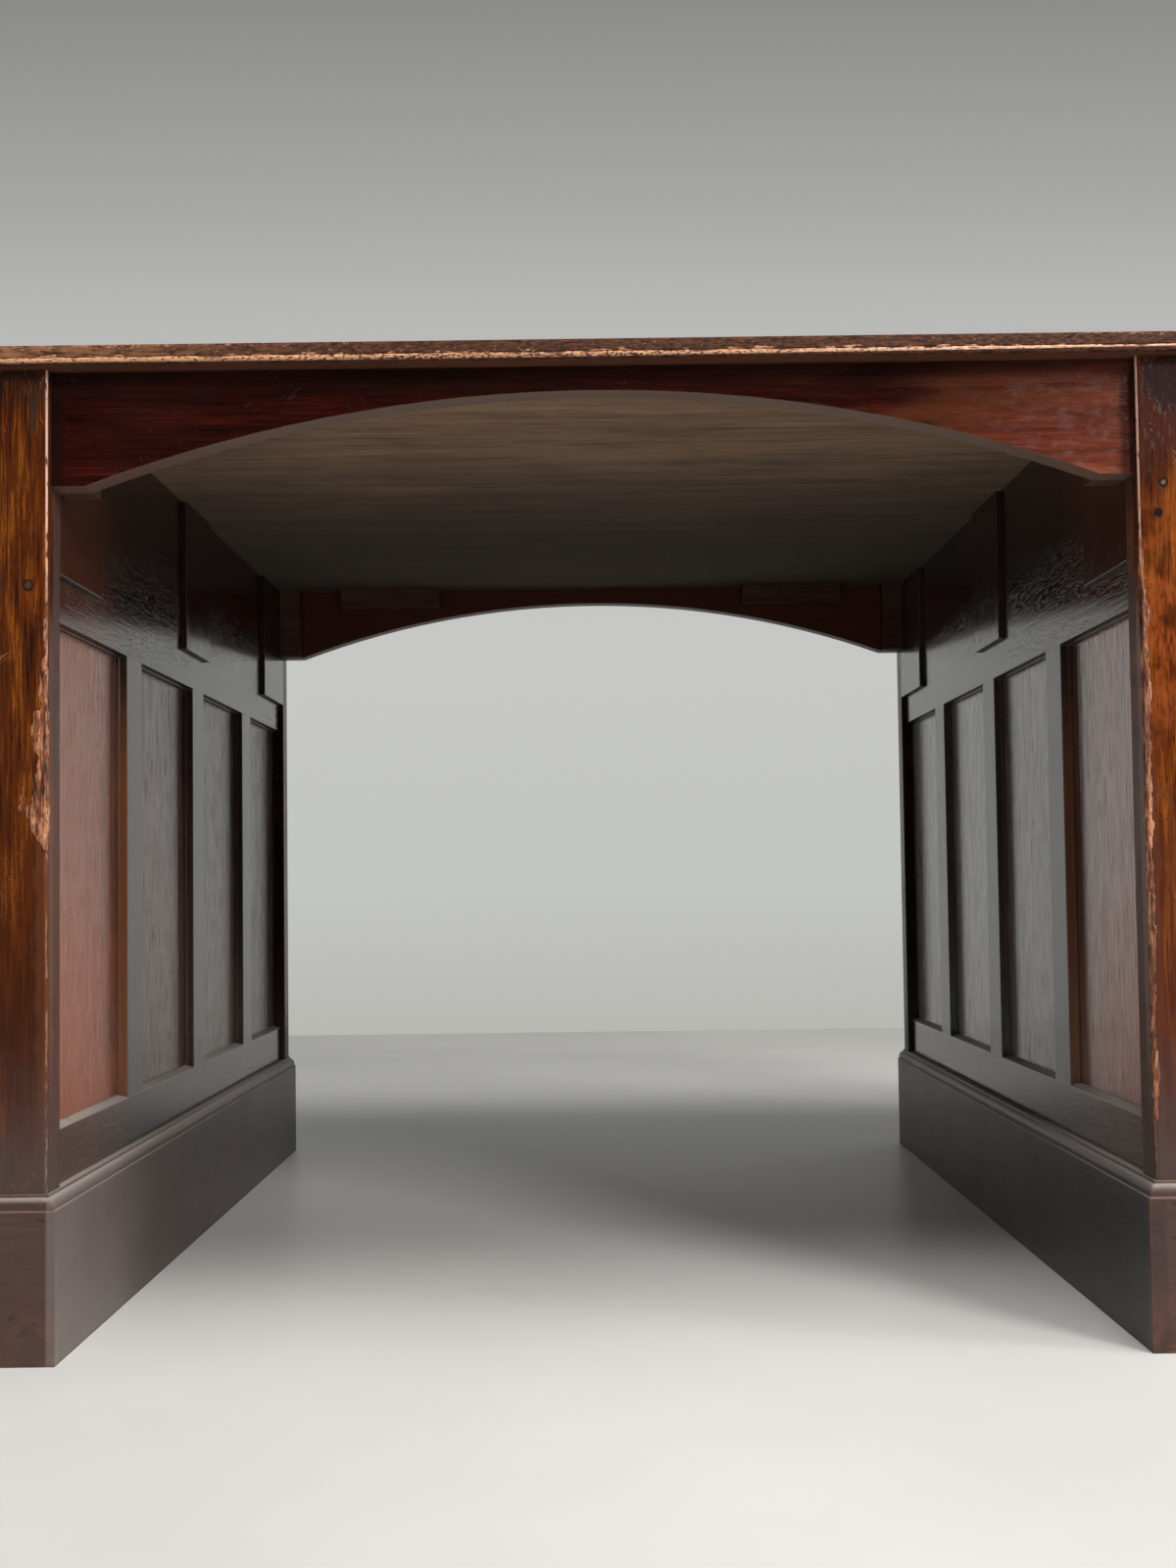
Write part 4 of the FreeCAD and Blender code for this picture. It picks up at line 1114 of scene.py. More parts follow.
PINE = WoodFinish(
    "inner_pine", dark=(0.15, 0.075, 0.032), middle=(0.40, 0.25, 0.13), light=(0.55, 0.38, 0.22),
    bare=(0.62, 0.46, 0.3), roughness=0.62, gloss=0.2, figure=0.9, stripe=0.9, pores=0.2, patches=0.25,
    patch_colour=(0.12, 0.06, 0.03), edge_wear=0.25, film=0.12, settled=0.3,
)
OAK = WoodFinish(
    "drawer_oak", dark=(0.16, 0.085, 0.038), middle=(0.38, 0.235, 0.12), light=(0.52, 0.35, 0.2),
    bare=(0.6, 0.45, 0.28), roughness=0.5, gloss=0.25, figure=0.6, stripe=1.1, pores=1.0, patches=0.2,
    patch_colour=(0.12, 0.06, 0.03), edge_wear=0.3, film=0.06, settled=0.2,
)
KNOB = WoodFinish(
    "knob_mahogany", dark=(0.016, 0.005, 0.004), middle=(0.060, 0.016, 0.009), light=(0.15, 0.042, 0.018),
    bare=(0.24, 0.09, 0.045), roughness=0.26, gloss=0.4, figure=0.5, patches=0.35, edge_radius=0.003,
    edge_wear=0.35, scratches=0.3, film=0.02, settled=0.2,
)


@dataclass(frozen=True)
class LeatherFinish:
    """Green writing leather with a tooled gilt line round it."""

    name: str = "green_leather"
    deep: Rgb = (0.018, 0.045, 0.024)
    worn: Rgb = (0.09, 0.14, 0.075)
    gilt: Rgb = (0.62, 0.44, 0.17)
    line_from_edge: float = 0.016
    line_width: float = 0.0012
    second_line: float = 0.0225

    def make(self) -> bpy.types.Material:
        """Builds the material.

        Returns:
            The material.
        """
        material, wiring, shader = open_material(self.name)
        place = wiring.place()
        x, y, _ = wiring.split(place)
        cells = wiring.fill(wiring.put("ShaderNodeTexVoronoi", feature="DISTANCE_TO_EDGE"), Vector=place, Scale=420.0)
        creases = wiring.read(cells, "Distance").step(0.0, 0.12)
        rub = wiring.noise(place, 7.0, 8.0, 0.2)
        from_edge = wiring.math("MINIMUM", LEATHER_X - abs(x), LEATHER_Y - abs(y))
        use = rub.step(0.45, 0.75) * from_edge.step(0.02, 0.15)
        colour = wiring.tint(use * 0.32, self.deep, self.worn)
        colour = wiring.tint((1.0 - creases) * 0.5, colour, self.deep)
        lines: Feed = 0.0
        for offset, width in ((self.line_from_edge, self.line_width), (self.second_line, self.line_width * 0.5)):
            away = abs(from_edge - offset)
            lines = wiring.math("MAXIMUM", lines, away.step(width, width * 0.7))
        gilt = lines * wiring.noise(place, 60.0, 4.0).step(0.34, 0.48)
        colour = wiring.tint(gilt, colour, self.gilt)
        bump = wiring.bump(0.25, 0.0005, creases - lines * 1.5)
        wiring.fill(shader, Base_Color=colour, Metallic=gilt * 0.85, Roughness=0.58 + use * 0.12 + gilt * -0.2,
                    Specular_IOR_Level=0.18, Normal=wiring.read(bump))
        return material


@dataclass(frozen=True)
class MetalFinish:
    """Old metal, bright where it is rubbed and dull in between."""

    name: str
    bright: Rgb
    dull: Rgb
    roughness: float = 0.34

    def make(self) -> bpy.types.Material:
        """Builds the material.

        Returns:
            The material.
        """
        material, wiring, shader = open_material(self.name)
        place = wiring.place()
        cloud = wiring.noise(place, 160.0, 5.0).step(0.35, 0.7)
        edge = EDGE_WEAR.use(wiring, Radius=0.0006, Amount=0.9, Break_Up=700.0)
        # Painted shade: hollows darkened and made less metallic
        hollow_shade_mask = HOLLOW_SHADE.use(wiring, Reach=0.003, Amount=0.7)["Mask"]
        colour = wiring.tint(cloud, self.bright, self.dull)
        colour = wiring.tint(edge["Mask"], colour, self.bright)
        colour = wiring.tint(hollow_shade_mask, colour, tuple(part * 0.2 for part in self.dull))
        wiring.fill(shader, Base_Color=colour, Metallic=1.0 - hollow_shade_mask * 0.6, Roughness=cloud * 0.25 + self.roughness,
                    Normal=edge["Normal"])
        return material


IRON = MetalFinish("dark_iron", (0.05, 0.045, 0.04), (0.012, 0.010, 0.009), 0.5)


def dress(node: str, finish: WoodFinish | LeatherFinish, *plan: GrainPlan) -> None:
    """Gives a CAD node its material.

    Args:
        node: the node's name.
        finish: what it is finished in.
        plan: which way its grain runs, for wood.
    """
    material = finish.make(*plan)
    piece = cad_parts[node]
    if not piece.material_slots:
        piece.data.materials.append(material)
    for slot in piece.material_slots:
        slot.material = material
    LOG.info("%s: %s", node, material.name)


def deselect() -> None:
    """Leaves nothing selected, so that an operator acts on the new piece alone."""
    bpy.ops.object.select_all(action="DESELECT")


@contextmanager
def editing() -> Iterator[None]:
    """Edit mode for the lines inside."""
    bpy.ops.object.mode_set(mode="EDIT")
    yield
    bpy.ops.object.mode_set(mode="OBJECT")


def turn_outward() -> None:
    """Selects a piece's whole mesh and turns its faces outward."""
    bpy.ops.mesh.select_all(action="SELECT")
    bpy.ops.mesh.normals_make_consistent(inside=False)


def select_vertices(piece: bpy.types.Object, numbers: Sequence[int]) -> None:
    """Selects some vertices and nothing else.

    Args:
        piece: the piece.
        numbers: the vertices' numbers.
    """
    for items in (piece.data.edges, piece.data.polygons, piece.data.vertices):
        items.foreach_set("select", [False] * len(items))
    for number in numbers:
        piece.data.vertices[number].select = True


def new_grid(columns: int, rows: int, scale: Point) -> bpy.types.Object:
    """Adds a flat grid at the origin.

    Args:
        columns: its subdivisions along X.
        rows: its subdivisions along Y.
        scale: half its size.

    Returns:
        The grid.
    """
    deselect()
    bpy.ops.mesh.primitive_grid_add(x_subdivisions=columns, y_subdivisions=rows, size=2.0)
    grid = bpy.context.object
    grid.scale = scale
    bpy.ops.object.transform_apply(location=False, rotation=False, scale=True)
    return grid


def grid_lines(grid: bpy.types.Object, axis: int, downward: bool) -> tuple[list[float], list[list[int]]]:
    """Groups a grid's vertices by their place along an axis.

    Args:
        grid: the grid.
        axis: 0 for X or 1 for Y.
        downward: whether the highest place comes first.

    Returns:
        The places, and the vertex numbers at each.
    """
    places = sorted({round(vertex.co[axis], 5) for vertex in grid.data.vertices}, reverse=downward)
    lines: dict[float, list[int]] = {place: [] for place in places}
    for vertex in grid.data.vertices:
        lines[round(vertex.co[axis], 5)].append(vertex.index)
    return places, list(lines.values())


def apply_modifier(piece: bpy.types.Object, kind: str, **settings: object) -> None:
    """Puts a modifier on a piece and applies it at once.

    Args:
        piece: the piece.
        kind: the modifier's type.
        settings: its properties.
    """
    modifier = piece.modifiers.new(kind.lower(), kind)
    for key, value in settings.items():
        setattr(modifier, key, value)
    bpy.context.view_layer.objects.active = piece
    bpy.ops.object.modifier_apply(modifier=modifier.name)


def finish_piece(piece: bpy.types.Object, name: str, body: str, material: bpy.types.Material) -> None:
    """Names a new piece, gives it its material and lets it ride on its body.

    Args:
        piece: the new piece.
        name: its name.
        body: the CAD body that it moves with.
        material: what it is finished in.
    """
    piece.name = name
    piece.data.name = name
    piece.data.materials.clear()
    piece.data.materials.append(material)
    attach(piece, body)
    LOG.info("%s rides on %s: %s", name, body, material.name)


def apply_displacement(piece: bpy.types.Object, group: str, axis: str, strength: float, middle: float,
                       grain: float, depth: int = 2) -> None:
    """Roughens a piece with soft noise, where a vertex group says.

    Args:
        piece: the piece.
        group: the vertex group's name.
        axis: the direction of the moves.
        strength: the largest move.
        middle: the noise value that stays where it is.
        grain: size of the noise.
        depth: finer layers of the noise.
    """
    texture = bpy.data.textures.new(f"{group}_{axis}_wear", "CLOUDS")
    texture.noise_scale = grain
    texture.noise_depth = depth
    apply_modifier(piece, "DISPLACE", texture=texture, texture_coords="LOCAL", direction=axis, strength=strength,
                   mid_level=middle, vertex_group=group)


def lay_rows(piece: bpy.types.Object, rows: Sequence[Sequence[int]], moves: Sequence[Vector]) -> None:
    """Moves rows of a grid to their places on a section.

    Args:
        piece: the grid.
        rows: vertex numbers, row by row.
        moves: how far each row goes.
    """
    bpy.context.view_layer.objects.active = piece
    for row, move in zip(rows, moves):
        select_vertices(piece, row)
        with editing():
            bpy.ops.mesh.select_mode(type="VERT")
            bpy.ops.transform.translate(value=move)


def join_pieces(parts: Sequence[bpy.types.Object]) -> bpy.types.Object:
    """Joins pieces into one, with its place in its mesh.

    Args:
        parts: the pieces.

    Returns:
        The joined piece.
    """
    deselect()
    for part in parts:
        part.select_set(True)
    bpy.context.view_layer.objects.active = parts[0]
    if len(parts) > 1:
        bpy.ops.object.join()
    bpy.ops.object.transform_apply(location=True, rotation=True, scale=True)
    return bpy.context.object


@dataclass
class EdgeMoulding:
    """The top's worn edge: four mitred lengths with a flat band over a bead, both rubbed uneven."""

    width: float = 0.042
    bead_radius: float = 0.0027
    set_back: float = 0.0016
    arris: float = 0.0007
    fine_step: float = 0.0017
    coarse_step: float = 0.0035
    wear: float = 0.0011

    def section(self) -> list[tuple[float, float]]:
        """Closed section of the moulding: distance inward and height over the soffit.

        Returns:
            Its points, from the inner top corner outward, down and back.
        """
        top = TOP_Z - SOFFIT_Z
        radius = self.bead_radius
        points = [(self.width, top), (0.024, top), (0.009, top), (self.set_back + 2.2 * self.arris, top),
                  (self.set_back + self.arris * 0.7, top - self.arris * 0.25),
                  (self.set_back + self.arris * 0.2, top - self.arris),
                  (self.set_back, top - 2.2 * self.arris)]
        points += [(self.set_back, height) for height in (0.0118, 0.0102, 0.0088, 0.0075, 0.0065, 0.0059)]
        for step in range(9):
            angle = math.radians(100.0 + step * 21.25)
            points.append((radius + radius * math.cos(angle), radius + radius * math.sin(angle)))
        points += [(0.0045, 0.0), (0.010, 0.0), (0.024, 0.0), (self.width, 0.0), (self.width, top / 2.0)]
        return points

    def length(self, half: float, reach: float, step: float, middle: float) -> bpy.types.Object:
        """One mitred length along X, with its nose toward -Y.

        Args:
            half: half of its length.
            reach: how far its nose is from the desk's middle.
            step: spacing of its wear.
            middle: the noise value that moves nothing.

        Returns:
            The length.
        """
        section = self.section()
        piece = new_grid(int(2.0 * half / step), len(section), (half, 1.0, 1.0))
        heights, rows = grid_lines(piece, 1, True)
        closed = section + [section[0]]
        moves = [Vector((0.0, inward - reach - height, SOFFIT_Z + up))
                 for (inward, up), height in zip(closed, heights)]
        lay_rows(piece, rows, moves)
        for name, chosen in (("face", range(5, 20)), ("quirk", range(11, 15))):
            group = piece.vertex_groups.new(name=name)
            for number in chosen:
                for index in rows[number]:
                    near_end = half - self.width - abs(piece.data.vertices[index].co.x)
                    group.add([index], max(0.0, min(1.0, 1.0 + near_end / 0.03)), "REPLACE")
        apply_displacement(piece, "face", "Y", self.wear, middle, 0.006, 3)
        apply_displacement(piece, "quirk", "Z", self.wear, 0.5, 0.004, 2)
        with editing():
            for way in (1.0, -1.0):
                bpy.ops.mesh.select_all(action="SELECT")
                bpy.ops.mesh.remove_doubles(threshold=1e-6)
                bpy.ops.mesh.select_all(action="SELECT")
                bpy.ops.mesh.bisect(plane_co=(way * half, -reach, 0.0), plane_no=(way, 1.0, 0.0), use_fill=True,
                                    clear_outer=True)
            turn_outward()
        return piece

    def build(self) -> None:
        """Models the four lengths, joins them and puts them on the top."""
        lengths = []
        for half, reach, step, middle, quarter_turns in (
            (EDGE_X, EDGE_Y, self.fine_step, 0.35, 0.0), (EDGE_X, EDGE_Y, self.coarse_step, 0.35, 2.0),
            (EDGE_Y, EDGE_X, self.coarse_step, 0.0, 1.0), (EDGE_Y, EDGE_X, self.coarse_step, 0.0, -1.0),
        ):
            length = self.length(half, reach, step, middle)
            length.rotation_euler = (0.0, 0.0, quarter_turns * math.pi / 2.0)
            lengths.append(length)
        piece = join_pieces(lengths)
        piece.vertex_groups.clear()
        bpy.ops.object.shade_smooth_by_angle(angle=math.radians(50.0))
        finish_piece(piece, "worn_edge_moulding", "carcass", EDGE.make(GrainPlan.RING))
        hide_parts("desktop_edge_moulding")


@dataclass
class TornArris:
    """Raw torn wood that wraps round a front post's kneehole arris."""

    side: Side
    seed: int
    stretches: tuple[tuple[float, float], ...]
    low: float
    high: float
    front_reach: float
    side_reach: float
    step: float = 0.0011
    rise: float = 0.0013
    sunk: float = 0.0004
    thickness: float = 0.0012
    round_radius: float = 0.003

    def path(self, way: float) -> tuple[Vector, Vector]:
        """Point and outward direction on the post's surface round its arris.

        Args:
            way: distance from the arris, below 0 on the front face and above 0 on the kneehole side.

        Returns:
            The point at height 0 and the direction.
        """
        sign = self.side.value
        quarter = self.round_radius * math.pi / 2.0
        centre = Vector((sign * (POST_INNER_X + self.round_radius), -POST_FRONT_Y + self.round_radius, 0.0))
        if way < -quarter / 2.0:
            out = Vector((0.0, -1.0, 0.0))
            along = -way - quarter / 2.0
            return centre + out * self.round_radius + Vector((sign * along, 0.0, 0.0)), out
        if way > quarter / 2.0:
            out = Vector((-sign, 0.0, 0.0))
            along = way - quarter / 2.0
            return centre + out * self.round_radius + Vector((0.0, along, 0.0)), out
        angle = (way / quarter + 0.5) * math.pi / 2.0
        out = Vector((-sign * math.sin(angle), -math.cos(angle), 0.0))
        return centre + out * self.round_radius, out

    def width_at(self, height: float) -> float:
        """How far the torn wood reaches on the front face.

        Args:
            height: height over the floor.

        Returns:
            The reach there.
        """
        stops = self.stretches
        for (z0, w0), (z1, w1) in zip(stops, stops[1:]):
            if z0 <= height <= z1:
                return w0 + (w1 - w0) * (height - z0) / (z1 - z0)
        return 0.0

    def build(self) -> None:
        """Models the torn wood and puts it on the post."""
        span = self.front_reach + self.side_reach
        across = max(6, int(span / self.step))
        upward = int((self.high - self.low) / self.step)
        piece = new_grid(across, upward, (1.0, (self.high - self.low) / 2.0, 1.0))
        with editing():
            bpy.ops.mesh.select_all(action="SELECT")
            bpy.ops.transform.rotate(value=-math.pi / 2.0, orient_axis="X", center_override=(0.0, 0.0, 0.0))
        places, columns = grid_lines(piece, 0, False)
        ways = [-self.front_reach + span * number / (len(places) - 1) for number in range(len(places))]
        middle = (self.low + self.high) / 2.0
        moves = []
        for way, place in zip(ways, places):
            point, out = self.path(way)
            point = point - out * self.sunk
            moves.append(Vector((point.x - place, point.y, middle)))
        lay_rows(piece, columns, moves)
        raised = piece.vertex_groups.new(name="raised")
        doomed = []
        for number, column in enumerate(columns):
            way = ways[number]
            for index in column:
                height = piece.data.vertices[index].co.z
                spot = Vector((way * 90.0, height * 46.0, self.seed))
                ragged = 0.95 + 0.50 * noise.noise(spot) + 0.35 * noise.noise(spot * 3.1)
                reach = self.width_at(height) * ragged
                limit = reach if way < 0.0 else reach * self.side_reach / self.front_reach
                inside = 1.0 - abs(way) / limit if limit > 1e-5 else -1.0
                if inside < 0.0:
                    doomed.append(index)
                else:
                    raised.add([index], min(1.0, 0.15 + 2.4 * inside), "REPLACE")
        normals = {number: self.path(way)[1] for number, way in enumerate(ways)}
        for number, column in enumerate(columns):
            for index in column:
                vertex = piece.data.vertices[index]
                spot = Vector((ways[number] * 260.0, vertex.co.z * 110.0, self.seed + 7.0))
                lift = self.rise * (0.80 + 0.65 * noise.noise(spot) + 0.35 * noise.noise(spot * 2.7))
                weight = next((group.weight for group in vertex.groups), 0.0)
                vertex.co += normals[number] * lift * weight
        select_vertices(piece, doomed)
        with editing():
            bpy.ops.mesh.select_mode(type="VERT")
            bpy.ops.mesh.delete(type="VERT")
        piece.vertex_groups.clear()
        apply_modifier(piece, "SOLIDIFY", thickness=self.thickness, offset=1.0 if self.faces_inward(piece) else -1.0)
        with editing():
            turn_outward()
        bpy.ops.object.shade_smooth_by_angle(angle=math.radians(40.0))
        finish_piece(piece, f"{self.side.word}_torn_arris", "carcass",
                     TORN.make(GrainPlan.UPRIGHT))

    @staticmethod
    def faces_inward(piece: bpy.types.Object) -> bool:
        """Whether the sheet's faces look into the post."""
        total = sum((face.normal for face in piece.data.polygons), Vector())
        return total.y > 0.0


@dataclass
class ScrewHead:
    """A slotted countersunk screw head, modelled once and copied."""

    radius: float = 0.0042
    height: float = 0.0008
    slot_width: float = 0.0011
    slot_depth: float = 0.0006
    sides: int = 20

    def model(self) -> bpy.types.Object:
        """Models one head at the origin, facing up.

        Returns:
            The head.
        """
        deselect()
        bpy.ops.mesh.primitive_cylinder_add(vertices=self.sides, radius=self.radius, depth=self.height,
                                            location=(0.0, 0.0, self.height / 2.0))
        head = bpy.context.object
        with editing():
            for edge in (-self.slot_width / 2.0, self.slot_width / 2.0):
                bpy.ops.mesh.select_all(action="SELECT")
                bpy.ops.mesh.bisect(plane_co=(edge, 0.0, 0.0), plane_no=(1.0, 0.0, 0.0))
        for face in head.data.polygons:
            face.select = face.normal.z > 0.9 and abs(face.center.x) < self.slot_width / 2.0
        with editing():
            bpy.ops.mesh.select_mode(type="FACE")
            bpy.ops.mesh.extrude_region_move(TRANSFORM_OT_translate={"value": (0.0, 0.0, -self.slot_depth)})
        return head

    def make(self, places: Sequence[tuple[Point, Point, float]]) -> bpy.types.Object:
        """Screws at several places.

        Args:
            places: centre, outward direction and turn of each head.

        Returns:
            One piece with all the heads.
        """
        model = self.model()
        screws = spread(model, places)
        bpy.data.objects.remove(model)
        return screws


def spread(model: bpy.types.Object, places: Sequence[tuple[Point, Point, float]]) -> bpy.types.Object:
    """Copies a small part to several places and joins the copies.

    Args:
        model: the part, at the origin and facing up.
        places: centre, outward direction and turn of each copy.

    Returns:
        One piece with all the copies.
    """
    copies = []
    for centre, outward, turn in places:
        part = model.copy()
        part.data = model.data.copy()
        bpy.context.scene.collection.objects.link(part)
        aim = Vector(outward).to_track_quat("Z", "Y").to_matrix().to_4x4()
        part.matrix_world = Matrix.Translation(centre) @ aim @ Matrix.Rotation(turn, 4, "Z")
        copies.append(part)
    return join_pieces(copies)


@dataclass
class TurnedKnob:
    """A turned wooden knob: foot, neck, flared head and a domed crown."""

    sides: int = 40
    profile: tuple[tuple[float, float], ...] = (
        (0.0110, -0.0004), (0.0110, 0.0012), (0.0103, 0.0024), (0.0085, 0.0050), (0.0076, 0.0080), (0.0078, 0.0104),
        (0.0094, 0.0128), (0.0126, 0.0148), (0.0154, 0.0162), (0.0165, 0.0180), (0.0165, 0.0204), (0.0158, 0.0222),
        (0.0142, 0.0241), (0.0118, 0.0256), (0.0085, 0.0270), (0.0048, 0.0278), (0.0015, 0.0280),
    )

    def model(self) -> bpy.types.Object:
        """Models one knob at the origin, facing up.

        Returns:
            The knob.
        """
        radius, height = self.profile[0]
        deselect()
        bpy.ops.mesh.primitive_circle_add(vertices=self.sides, radius=radius, fill_type="NGON",
                                          location=(0.0, 0.0, height))
        bpy.ops.object.transform_apply(location=True, rotation=False, scale=False)
        knob = bpy.context.object
        with editing():
            bpy.ops.mesh.select_all(action="SELECT")
            for wide, tall in self.profile[1:]:
                bpy.ops.mesh.extrude_region_move(TRANSFORM_OT_translate={"value": (0.0, 0.0, tall - height)})
                bpy.ops.transform.resize(value=(wide / radius, wide / radius, 1.0))
                radius, height = wide, tall
            bpy.ops.mesh.select_all(action="DESELECT")
            bpy.ops.mesh.select_mode(type="EDGE")
            bpy.ops.mesh.select_non_manifold()
            bpy.ops.mesh.edge_face_add()
            turn_outward()
        bpy.ops.object.shade_smooth_by_angle(angle=math.radians(42.0))
        return knob


@dataclass
class CockBead:
    """A small rounded bead round the face of a drawer front."""

    node: str
    body: str
    width: float = 0.0030
    proud: float = 0.0014
    sunk: float = 0.0010

    def build(self) -> None:
        """Models the bead and puts it on its drawer."""
        low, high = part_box(self.node)
        deselect()
        bpy.ops.mesh.primitive_plane_add(size=1.0)
        bead = bpy.context.object
        bead.scale = (high.x - low.x - 0.0002, high.z - low.z - 0.0002, 1.0)
        bpy.ops.object.transform_apply(location=False, rotation=False, scale=True)
        with editing():
            bpy.ops.mesh.select_all(action="SELECT")
            bpy.ops.mesh.inset(thickness=self.width)
            bpy.ops.mesh.delete(type="FACE")
        apply_modifier(bead, "SOLIDIFY", thickness=self.proud + self.sunk, offset=1.0)
        apply_modifier(bead, "BEVEL", width=self.width * 0.36, segments=3, limit_method="ANGLE")
        bead.rotation_euler = (math.pi / 2.0, 0.0, 0.0)
        bead.location = ((low.x + high.x) / 2.0, low.y + self.sunk, (low.z + high.z) / 2.0)
        bpy.ops.object.transform_apply(location=True, rotation=True, scale=False)
        bpy.ops.object.shade_smooth_by_angle(angle=math.radians(50.0))
        finish_piece(bead, f"{self.node}_bead", self.body, BEAD.make(GrainPlan.LENGTHWISE))


class Top:
    """Boards, edge moulding and writing leather."""

    def build(self) -> None:
        """Dresses the top's nodes."""
        dress("desktop_boards", UNDERSIDE, GrainPlan.LENGTHWISE)
        EdgeMoulding().build()
        dress("writing_leather", LeatherFinish())


class Aprons:
    """Front and rear arched aprons with their glue blocks."""

    def build(self) -> None:
        """Dresses the aprons and blocks."""
        for node, finish in (("front_apron", APRON), ("rear_apron", APRON), ("apron_blocks", BLOCKS)):
            dress(node, finish, GrainPlan.LENGTHWISE)


@dataclass
class Drawer:
    """One drawer: front with its bead, box and pair of knobs."""

    side: Side
    level: Level
    knob: bpy.types.Object
    knob_offset: float = 0.105

    def build(self) -> None:
        """Dresses the drawer's nodes and adds its bead and turned knobs."""
        stem = f"{self.side.word}_{self.level.word}_drawer"
        dress(f"{stem}_front", DRAWER, GrainPlan.LENGTHWISE)
        dress(f"{stem}_box", OAK, GrainPlan.BOX)
        CockBead(f"{stem}_front", stem).build()
        middle = self.side.value * DRAWER_X
        places = [((middle + way * self.knob_offset, -POST_FRONT_Y, self.level.value), (0.0, -1.0, 0.0), 0.0)
                  for way in (-1.0, 1.0)]
        finish_piece(spread(self.knob, places), f"{stem}_turned_knobs", stem,
                     KNOB.make(GrainPlan.CROSSWISE))
        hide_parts(f"{stem}_knobs")


@dataclass
class Cupboard:
    """One door with its panel, knob and hinges."""

    side: Side
    knob: bpy.types.Object
    knob_x: float = 0.489
    knob_z: float = 0.4766
    leaf_heights: tuple[float, float] = (0.254, 0.619)
    screw_offsets: tuple[float, ...] = (-0.022, 0.0, 0.022)
    leaf_face_x: tuple[float, float] = (0.8545, 0.8560)
    leaf_middle_y: float = 0.5095

    def build(self) -> None:
        """Dresses the door, and adds its turned knob and the hinges' screws."""
        word = self.side.word
        dress(f"{word}_door_frame", POLISHED, GrainPlan.DOOR_FRAME)
        dress(f"{word}_door_panel", POLISHED, GrainPlan.UPRIGHT)
        place = ((self.side.value * self.knob_x, POST_FRONT_Y, self.knob_z), (0.0, 1.0, 0.0), 0.0)
        finish_piece(spread(self.knob, [place]), f"{word}_door_turned_knob", f"{word}_door",
                     KNOB.make(GrainPlan.CROSSWISE))
        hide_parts(f"{word}_door_knob")
        self.leaf_screws(f"{word}_door_hinge_leaves", f"{word}_door", 1.0)
        self.leaf_screws(f"{word}_post_hinge_leaves", "carcass", -1.0)

    def leaf_screws(self, node: str, body: str, outward: float) -> None:
        """Adds three screws to each leaf of a hinge node, in the leaves' own brass.

        Args:
            node: the leaves' node.
            body: the body that they ride on.
            outward: the sign of X, times the side's own, that the leaves' open faces look to.
        """
        sign = self.side.value
        face = self.leaf_face_x[0] if outward > 0.0 else self.leaf_face_x[1]
        places = []
        for number, height in enumerate(self.leaf_heights):
            for offset in self.screw_offsets:
                centre = (sign * (face - outward * 0.0006), self.leaf_middle_y, height + offset)
                places.append((centre, (sign * outward, 0.0, 0.0), 0.7 * number + 40.0 * offset))
        screws = ScrewHead(radius=0.0024, height=0.0007, slot_width=0.0006, slot_depth=0.0004, sides=14).make(places)
        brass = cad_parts[node].material_slots[0].material
        finish_piece(screws, f"{node}_screws", body, brass)


@dataclass
class Pedestal:
    """One pedestal with its drawers and cupboard."""

    side: Side
    knob: bpy.types.Object
    screw_y: float = 0.478
    screw_heights: tuple[float, float] = (0.666, 0.700)
    finishes: tuple[tuple[str, WoodFinish, GrainPlan], ...] = (
        ("corner_posts", POST, GrainPlan.UPRIGHT),
        ("kneehole_frame", KNEEHOLE, GrainPlan.SIDE_FRAME),
        ("kneehole_panels", PANEL, GrainPlan.UPRIGHT),
        ("end_frame", POLISHED, GrainPlan.SIDE_FRAME),
        ("end_panels", POLISHED, GrainPlan.UPRIGHT),
        ("fixing_pads", KNEEHOLE, GrainPlan.UPRIGHT),
        ("plinth", PLINTH, GrainPlan.RING),
        ("cross_rails", POLISHED, GrainPlan.LENGTHWISE),
        ("drawer_runners", PINE, GrainPlan.CROSSWISE),
        ("bottom_board", PINE, GrainPlan.LENGTHWISE),
        ("partition", PINE, GrainPlan.LENGTHWISE),
        ("cupboard_shelf", PINE, GrainPlan.LENGTHWISE),
        ("shelf_bearers", PINE, GrainPlan.CROSSWISE),
    )

    def build(self) -> None:
        """Dresses the pedestal, adds its cupboard and drawers, and on the left adds the screws of its rear pad."""
        word = self.side.word
        for node, finish, plan in self.finishes:
            dress(f"{word}_{node}", finish, plan)
        if self.side is Side.LEFT:
            self.pad_screws()
        Cupboard(self.side, self.knob).build()
        for level in Level:
            Drawer(self.side, level, self.knob).build()

    def pad_screws(self) -> None:
        """Adds the two dark screws that hold the rear pad."""
        sign = self.side.value
        places = []
        for height in self.screw_heights:
            centre = (sign * (POST_INNER_X + 0.0002), self.screw_y, height)
            places.append((centre, (-sign, 0.0, 0.0), 0.4 + height * 9.0))
        screws = ScrewHead(radius=0.0032).make(places)
        finish_piece(screws, f"{self.side.word}_pad_screws", "carcass", IRON.make())


